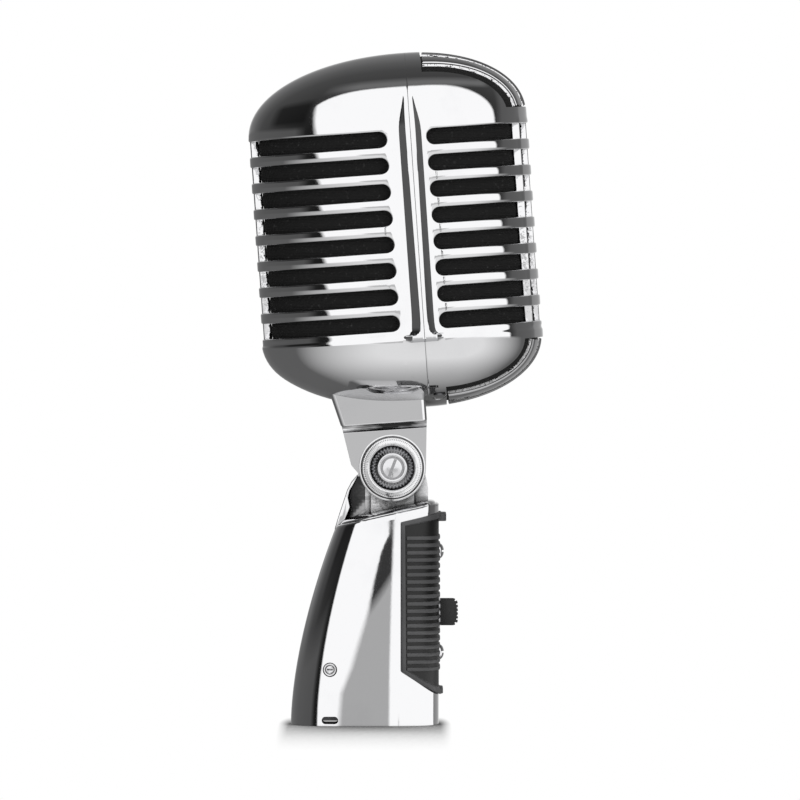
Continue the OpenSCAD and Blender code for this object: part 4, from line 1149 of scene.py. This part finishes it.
# nook and wide: how far the painted shade of a corner and the painted shadow under the bowl or the rim reach
chromeLook = dict(smudge=38, fine=900, wave=55, waveDepth=0.7, rough=0.045, roughSpread=0.05, nook=1.1,
                  cast=620, castDepth=45, bright=(0.86, 0.86, 0.87), dull=(0.80, 0.80, 0.815))
paints = dict(
    chrome=chromePaint("chrome", **chromeLook),
    shellChrome=chromePaint("shellChrome", **chromeLook, wide=24, shadowFrom=(0.92, 0.66),
        shadow=(0.2, 0.2, 0.2)),
    castChrome=chromePaint("castChrome", **chromeLook, wide=9, shadowFrom=(0.64, 0.42),
        shadow=(0.02, 0.02, 0.02)),
    # zinc kept dark: painted shade for the inside of the latch notch, where the bottom block shows
    zinc=metalPaint("zinc", grain=700, rough=0.35, roughSpread=0.2, depth=0.05,
        bright=(0.16, 0.16, 0.165), dull=(0.10, 0.10, 0.105)),
    dark_steel=metalPaint("darkSteel", grain=1200, rough=0.3, roughSpread=0.2, depth=0.03,
        bright=(0.20, 0.20, 0.21), dull=(0.10, 0.10, 0.105)),
    bright_steel=metalPaint("brightSteel", grain=1500, rough=0.07, roughSpread=0.1, depth=0.01, nook=0.8,
        bright=(0.84, 0.84, 0.85), dull=(0.72, 0.72, 0.74)),
    # a darker copy of bright steel: painted shade on the washers in the cup's recess
    shadedWasherSteel=metalPaint("shadedWasherSteel", grain=1500, rough=0.07, roughSpread=0.08, depth=0.01, nook=0.8,
        bright=(0.46, 0.46, 0.47), dull=(0.34, 0.34, 0.35)),
    brass=metalPaint("brass", grain=900, stretch=(1, 1, 6), rough=0.18, roughSpread=0.2, depth=0.02,
        bright=(0.76, 0.60, 0.30), dull=(0.55, 0.42, 0.20)),
    insert_plastic=plasticPaint("insertPlastic", grain=1500, rough=0.35, rub=0.08, depth=0.01,
        dark=(0.02, 0.02, 0.02), pale=(0.035, 0.035, 0.035)),
    pin_metal=metalPaint("pinMetal", grain=1500, rough=0.12, roughSpread=0.12, depth=0.01,
        bright=(0.80, 0.79, 0.75), dull=(0.62, 0.60, 0.55)),
    black_plastic=plasticPaint("blackPlastic", grain=1400, rough=0.42, rub=0.1, depth=0.02,
        # groove: the painted shade on the plate between the panel's ribs
        groove=(0.004, 0.004, 0.004),
        dark=(0.06, 0.06, 0.062), pale=(0.085, 0.085, 0.088)),
    knob_plastic=plasticPaint("knobPlastic", grain=1400, rough=0.5, rub=0.12, depth=0.02,
        dark=(0.012, 0.012, 0.012), pale=(0.022, 0.022, 0.022)),
    phenolic=metalPaint("phenolic", grain=500, rough=0.5, roughSpread=0.2, depth=0.03, metal=0.0,
        bright=(0.34, 0.19, 0.09), dull=(0.24, 0.13, 0.06)),
    fibre=metalPaint("fibre", grain=900, rough=0.7, roughSpread=0.2, depth=0.04, metal=0.0,
        bright=(0.16, 0.13, 0.11), dull=(0.10, 0.08, 0.07)),
    lead=plasticPaint("leadSheath", grain=1200, rough=0.55, rub=0.1, depth=0.02,
        dark=(0.04, 0.04, 0.04), pale=(0.06, 0.06, 0.06)),
    cloth=clothPaint("cloth"),
    rubber=plasticPaint("rubber", grain=900, rough=0.7, rub=0.12, depth=0.03,
        dark=(0.03, 0.03, 0.03), pale=(0.05, 0.05, 0.05)),
    satin_metal=metalPaint("satinMetal", grain=1100, rough=0.28, roughSpread=0.18, depth=0.02,
        bright=(0.60, 0.60, 0.61), dull=(0.48, 0.48, 0.50)),
    film=metalPaint("film", grain=600, rough=0.2, roughSpread=0.1, depth=0.01, metal=0.0,
        bright=(0.78, 0.64, 0.32), dull=(0.68, 0.54, 0.26)),
    copper=metalPaint("copper", grain=1600, stretch=(1, 8, 1), rough=0.25, roughSpread=0.15, depth=0.05,
        bright=(0.74, 0.42, 0.26), dull=(0.52, 0.27, 0.16)),
    magnet_steel=metalPaint("magnetSteel", grain=1000, rough=0.3, roughSpread=0.2, depth=0.03,
        bright=(0.45, 0.45, 0.47), dull=(0.30, 0.30, 0.32)))

# every CAD node takes the finish of its slot
for part in frame["record"]["subparts"]:
    node = frame["nodes"][part["node"]]
    node.data.materials.clear()
    node.data.materials.append(paints[part["material_slot"]])


print("camera, floor and light")
# the camera is square to the side at -X, aims at y and z, and shows width across
view = dict(distance=2.2, y=-0.84, z=90.6, eye=135, width=224.8, sensor=36)
camera = bpy.data.objects.new("camera", bpy.data.cameras.new("camera"))
bpy.context.collection.objects.link(camera)
camera.location = (-view["distance"], view["y"] * mm, view["eye"] * mm)
aim = Vector((0, view["y"] * mm, view["z"] * mm)) - camera.location
camera.rotation_euler = aim.to_track_quat("-Z", "Y").to_euler()
camera.data.sensor_width = view["sensor"]
camera.data.lens = view["sensor"] * aim.length / (view["width"] * mm)
camera.data.clip_end = 50
bpy.context.scene.camera = camera

studio = dict(radius=40, floor=5, floorColour=(0.97, 0.97, 0.97), floorGlow=0.2, paneLevel=1.1,
              worldLevel=0.82, lampPower=9, lampSize=1.5, lampPlace=(-1.9, -0.5, 1.6))
# the shadow beside the foot: how far it reaches, and where it ends on the far side
footShadow = dict(nook=140, dark=(0.05, 0.05, 0.05), farFrom=-12, farPace=4, endPace=40,
                  beside=(0.03, 0.012), away=(0.02, 0.14), power=4, glowPower=3)


def makeFloor():
    floor = addShape("plane", "floor", size=2 * studio["floor"])
    paint = Paint("floorPaint")
    x, y = paint.split(paint.node("TexCoord", out="Object"))[:2]
    middle = (base["rear"] - base["front"]) / 2 * mm
    fromMiddle = paint.reckon("ABSOLUTE", y - middle)
    nearSide = x * -1 - base["width"] / 2 * mm
    farSide = (x - footShadow["farFrom"] * mm) * footShadow["farPace"]
    aside = paint.larger(nearSide, 0) + paint.larger(farSide, 0)
    along = paint.larger(fromMiddle - (middle + base["front"] * mm), 0)
    ends = along * footShadow["endPace"]
    away = paint.reckon("SQRT", aside * aside + ends * ends)
    shade = paint.openness(footShadow["nook"])
    # the shadow is deepest beside the length of the foot
    beside = paint.between(*footShadow["beside"], along + fromMiddle * 0.5)
    colour = paint.blend(beside, studio["floorColour"], footShadow["dark"])
    colour = paint.blend(shade ** footShadow["power"], colour, studio["floorColour"])
    seen = paint.node("LightPath", out="Is Camera Ray")
    lit = paint.node("BsdfPrincipled", None, {"Base Color": colour, "Roughness": 0.8 + 0.1 * paint.noise(6),
                                              "Specular IOR Level": 0.0})
    glow = paint.blend(seen * shade ** footShadow["glowPower"], (0, 0, 0), (studio["floorGlow"],) * 3)
    glow = paint.node("Emission", None, {"Color": glow})
    plain = paint.node("Emission", None, {"Color": (1, 1, 1, 1)})
    near = paint.node("AddShader", None, {0: lit, 1: glow})
    floor.data.materials.append(paint.finish(paint.node("MixShader", None, {
        0: paint.between(*footShadow["away"], away) * seen, 1: near, 2: plain})))
    floor.visible_glossy = False


# what a chrome face mirrors, by the way the face looks: degrees towards the rear, and upwards
window = dict(rear=15.7, lean=0.12, frontWide=33.5, backWide=23, high=38.5, frontPower=1.9, backPower=2.8,
              rim=(1.05, 0.95), rearRim=(0.8, -0.8), footRim=(-5, -2.5))
ground = dict(turn=-6, rise=-11, wide=28, high=36, pale=0.82, dark=0.12, spot=(1.4, 0.35), rim=(-2.5, -4.5))
# the dark rest, in shares of a right angle off the camera's way, and the patches on it:
# how grey and how strong each is, and where it begins and is full
restTones = [(0.2, 0.012), (0.33, 0.03), (0.5, 0.055), (0.62, 0.07), (0.72, 0.11),
             (0.84, 0.18), (0.89, 0.23), (0.94, 0.42), (1.0, 0.8)]
patches = [
    dict(grey=1, strength=0.06, turn=[(-34, -40)], rise=[]),
    dict(grey=1, strength=0.1, turn=[(-62, -66)], rise=[]),
    dict(grey=0.12, strength=0.7, turn=[(20, 25)], rise=[(10, 6)]),
    dict(grey=0.006, strength=0.75, turn=[(19, 22), (46, 38)], rise=[(36, 30), (9, 15)]),  # beside the window
    dict(grey=0.16, strength=1, turn=[(20, 10), (-34, -26)], rise=[(47, 42), (36, 40)])]   # a fringe over it
# just under the horizon, for the neck
neckPatch = dict(grey=0.56, rise=[(-4.8, -4.2), (-0.75, -1.1)], off=[(6, 5)])


def makeSurround():
    # a white window on the camera's side, pale ground below it, dark rest
    surround = addShape("uv_sphere", "surround", segments=64, ring_count=32, radius=studio["radius"])
    paint = Paint("surroundPaint")
    way = paint.node("VectorMath", dict(operation="NORMALIZE"), {0: paint.node("TexCoord", out="Object")})
    half = paint.node("VectorMath", dict(operation="ADD"), {0: way, 1: (-1, 0, 0)})
    x, y, z = paint.split(paint.node("VectorMath", dict(operation="NORMALIZE"), {0: half}))
    turn = paint.reckon("ARCTAN2", y, x * -1) * (180 / math.pi)
    rise = paint.reckon("ARCSINE", z) * (180 / math.pi)
    off = paint.reckon("ARCCOSINE", x * -1) * (180 / math.pi)

    upward = paint.larger(rise, 0) * (1 / window["high"])
    before = ((paint.larger(turn * -1, 0) * (1 / window["frontWide"])) ** window["frontPower"]
              + upward ** window["frontPower"])
    behind = ((paint.larger(turn, 0) * (1 / window["backWide"])) ** window["backPower"]
              + upward ** window["backPower"])
    edge = window["rear"] + window["lean"] * rise
    pane = paint.between(*window["rim"], before) * paint.between(*window["rim"], behind)
    pane = pane * paint.between(*window["rearRim"], turn - edge) * paint.between(*window["footRim"], rise)

    aside = (turn - ground["turn"]) * (1 / ground["wide"])
    down = (rise - ground["rise"]) * (1 / ground["high"])
    spot = paint.between(*ground["spot"], paint.reckon("SQRT", aside * aside + down * down))
    pale = spot * (ground["pale"] - ground["dark"]) + ground["dark"]

    dark = paint.node("ValToRGB", dict(stops=restTones), {0: off * (1 / 90)})
    for patch in patches:
        share = patch["strength"] * paint.within(turn, patch["turn"]) * paint.within(rise, patch["rise"])
        dark = paint.blend(share, dark, (patch["grey"],) * 3)
    colour = paint.blend(paint.between(*ground["rim"], rise), dark, paint.larger(pale, dark))
    colour = paint.blend(pane, colour, (studio["paneLevel"],) * 3)
    share = paint.within(rise, neckPatch["rise"]) * paint.within(off, neckPatch["off"])
    colour = paint.blend(share, colour, (neckPatch["grey"],) * 3)
    glow = paint.node("Emission", None, {"Color": colour, "Strength": 1.0})
    surround.data.materials.append(paint.finish(glow))
    glossyOnly(surround)


def glossyOnly(obj):
    obj.visible_camera = False
    obj.visible_diffuse = False
    obj.visible_shadow = False


# a card close to the base, whose flat side mirrors its grey wedge with a dark tip, and one before the foot
wedgeCard = dict(low=(-40.2, -4, -6), high=(-40, 24, 66), reach=36, fade=3, grey=0.44, tip=0.04,
                 tipRim=(46, 51), tipSlant=1.6, frontRim=(0.2, 1.4), soft=(52, 20), softest=2.8, crispest=0.4,
                 solidRim=(14, 10), wide=20,
                 rearEdge=[(0.0, 0.9), (0.15, 0.86), (0.27, 0.68), (0.4, 0.55), (0.53, 0.42), (0.68, 0.33),
                           (0.83, 0.22), (0.91, 0.11)])
footCard = dict(low=(-48, -35.2, -4), high=(4, -35, 22), reach=60, fade=5)


def makeCards():
    card = addBlock("card", wedgeCard["low"], wedgeCard["high"])
    paint = Paint("cardPaint")
    y, z = [part * (1 / mm) for part in paint.split(paint.node("TexCoord", out="Object"))[1:]]
    share = z * (1 / wedgeCard["high"][2])
    rearEdge = paint.node("ValToRGB", dict(stops=wedgeCard["rearEdge"]), {0: share}) * wedgeCard["wide"]
    spread = wedgeCard["softest"] - wedgeCard["crispest"]
    soft = paint.between(*wedgeCard["soft"], z) * spread + wedgeCard["crispest"]
    wedge = paint.between(0, 1, (rearEdge - y) / soft + 0.5) * paint.between(*wedgeCard["frontRim"], y)
    tip = paint.between(*wedgeCard["tipRim"], z + y * wedgeCard["tipSlant"])
    colour = paint.blend(tip, (wedgeCard["grey"],) * 3, (wedgeCard["tip"],) * 3)
    colour = paint.blend(wedge, (studio["paneLevel"],) * 3, colour)
    # the strip beside the foot stays solid
    solid = paint.larger(wedge, paint.between(*wedgeCard["solidRim"], z))
    finishCard(card, paint, wedgeCard, colour, solid)
    card = addBlock("lowCard", footCard["low"], footCard["high"])
    finishCard(card, Paint("lowCardPaint"), footCard, (studio["paneLevel"],) * 3 + (1,), 1)


def finishCard(card, paint, look, colour, solid):
    # only a short ray meets it, so that nothing but the base mirrors it
    near = paint.between(look["reach"] * mm, (look["reach"] - look["fade"]) * mm,
                         paint.node("LightPath", out="Ray Length"))
    glow = paint.node("Emission", None, {"Color": colour})
    card.data.materials.append(paint.finish(paint.node("MixShader", None, {
        0: solid * near, 1: paint.node("BsdfTransparent"), 2: glow})))
    glossyOnly(card)


def makeLamp():
    # a large soft lamp, aimed at the middle of the object
    lamp = bpy.data.objects.new("keyLamp", bpy.data.lights.new("keyLamp", "AREA"))
    bpy.context.collection.objects.link(lamp)
    lamp.data.shape = "SQUARE"
    lamp.data.size = studio["lampSize"]
    lamp.data.energy = studio["lampPower"]
    lamp.location = studio["lampPlace"]
    lamp.rotation_euler = (Vector((0, 0, 0.1)) - lamp.location).to_track_quat("-Z", "Y").to_euler()
    lamp.visible_glossy = False


def makeWorld():
    # plain light, and plain white where the camera or a glossy face sees it
    world = bpy.data.worlds.new("studioWorld")
    world.use_nodes = True
    world.node_tree.nodes.clear()
    bpy.context.scene.world = world
    paint = Paint("world", world.node_tree)
    rays = [paint.node("LightPath", out=f"Is {kind} Ray") for kind in ("Camera", "Glossy", "Transmission")]
    seen = paint.between(0, 1, rays[0] + rays[1] + rays[2])
    level = seen * (1 - studio["worldLevel"]) + studio["worldLevel"]
    background = paint.node("Background", None, {"Color": (1, 1, 1, 1), "Strength": level})
    paint.node("OutputWorld", None, {"Surface": background})


makeFloor()
makeSurround()
makeCards()
makeWorld()
makeLamp()
bpy.context.scene.view_settings.view_transform = "Standard"


def underBowl(point):
    # 0 on the grille and 1 from 8 mm under the bowl's rim, where the painted shadow under the bowl falls
    return min(1, max(0, (bowlBase - point.z) / 8))


print("head")
rearShell = joinPieces("rearShell", [makeShell("rear", slots["rearLand"]),
                                     makeUpright("rear", 0, uprights["rearWidth"])])
setValue(rearShell, "under", underBowl)
finishPiece(rearShell, "head", "chrome", "rear_shell", paint="shellChrome")
frontShell = makeShell("front", slots["frontLand"])
for upper in (True, False):
    cutWith(frontShell, makeField(upper, -1.5, ribs["clear"]))
for x in (-chin["screwX"], chin["screwX"]):
    cutWith(frontShell, addRod("screwSink", chin["sinkRadius"], chin["sinkFrom"], chin["sinkTo"], axis="Z",
                               sides=32, place=(x, head["seam"] - chin["sinkForward"], 0)))
frontParts = [frontShell]
for x in (-ribs["pitch"], 0, ribs["pitch"]):
    frontParts += [makeRib(x, True), makeRib(x, False), makeUpright("front", x, uprights["width"])]
frontShell = joinPieces("frontShell", frontParts)
setValue(frontShell, "under", underBowl)
finishPiece(frontShell, "head", "chrome", "front_shell", paint="shellChrome")
finishPiece(makeCloth("rear"), "head", "cloth", "rear_liner")
# black sheets in the sunk fields stand for the shade there
shadeSheetTop = ribs["fieldDepth"] - ribs["shadeSheet"]
fieldShadeSheets = [makeField(upper, shadeSheetTop, ribs["clear"] - 0.1) for upper in (True, False)]
finishPiece(joinPieces("frontCloth", [makeCloth("front")] + fieldShadeSheets), "head", "cloth", "front_liner")

print("neck and pivot")
for piece, node in ((makeNeck(), "neck"), (makeCup(-1), "left_cup"), (makeCup(1), "right_cup")):
    weighNormals(finishPiece(piece, "head", "chrome", node))
washers = joinPieces("toothedWashers", [makeWasher(-1), makeWasher(1)])
finishPiece(washers, "head", "bright_steel", "lock_washers", paint="shadedWasherSteel")
finishPiece(joinPieces("pivotBolt", [makeBoltHead(-1), makeShank()]), "head", "bright_steel", "pivot_bolt")
finishPiece(makeBoltHead(1), "head", "bright_steel", "pivot_nut")

print("base")
housing = joinPieces("baseHousing", [makeHousing(), makeLug()])
finishPiece(housing, "base", "chrome", "base_housing", paint="castChrome")
finishPiece(makePanel(), "base", "black_plastic", "switch_panel")
screws = [makePanelScrew(panel["middle"] + side * panelScrew["apart"]) for side in (-1, 1)]
finishPiece(joinPieces("panelScrews", screws), "base", "bright_steel", "panel_screws")
finishPiece(makeSetScrew(), "base", "bright_steel", "xlr_set_screw")
finishPiece(makeKnob(), "knob", "knob_plastic", "switch_knob")
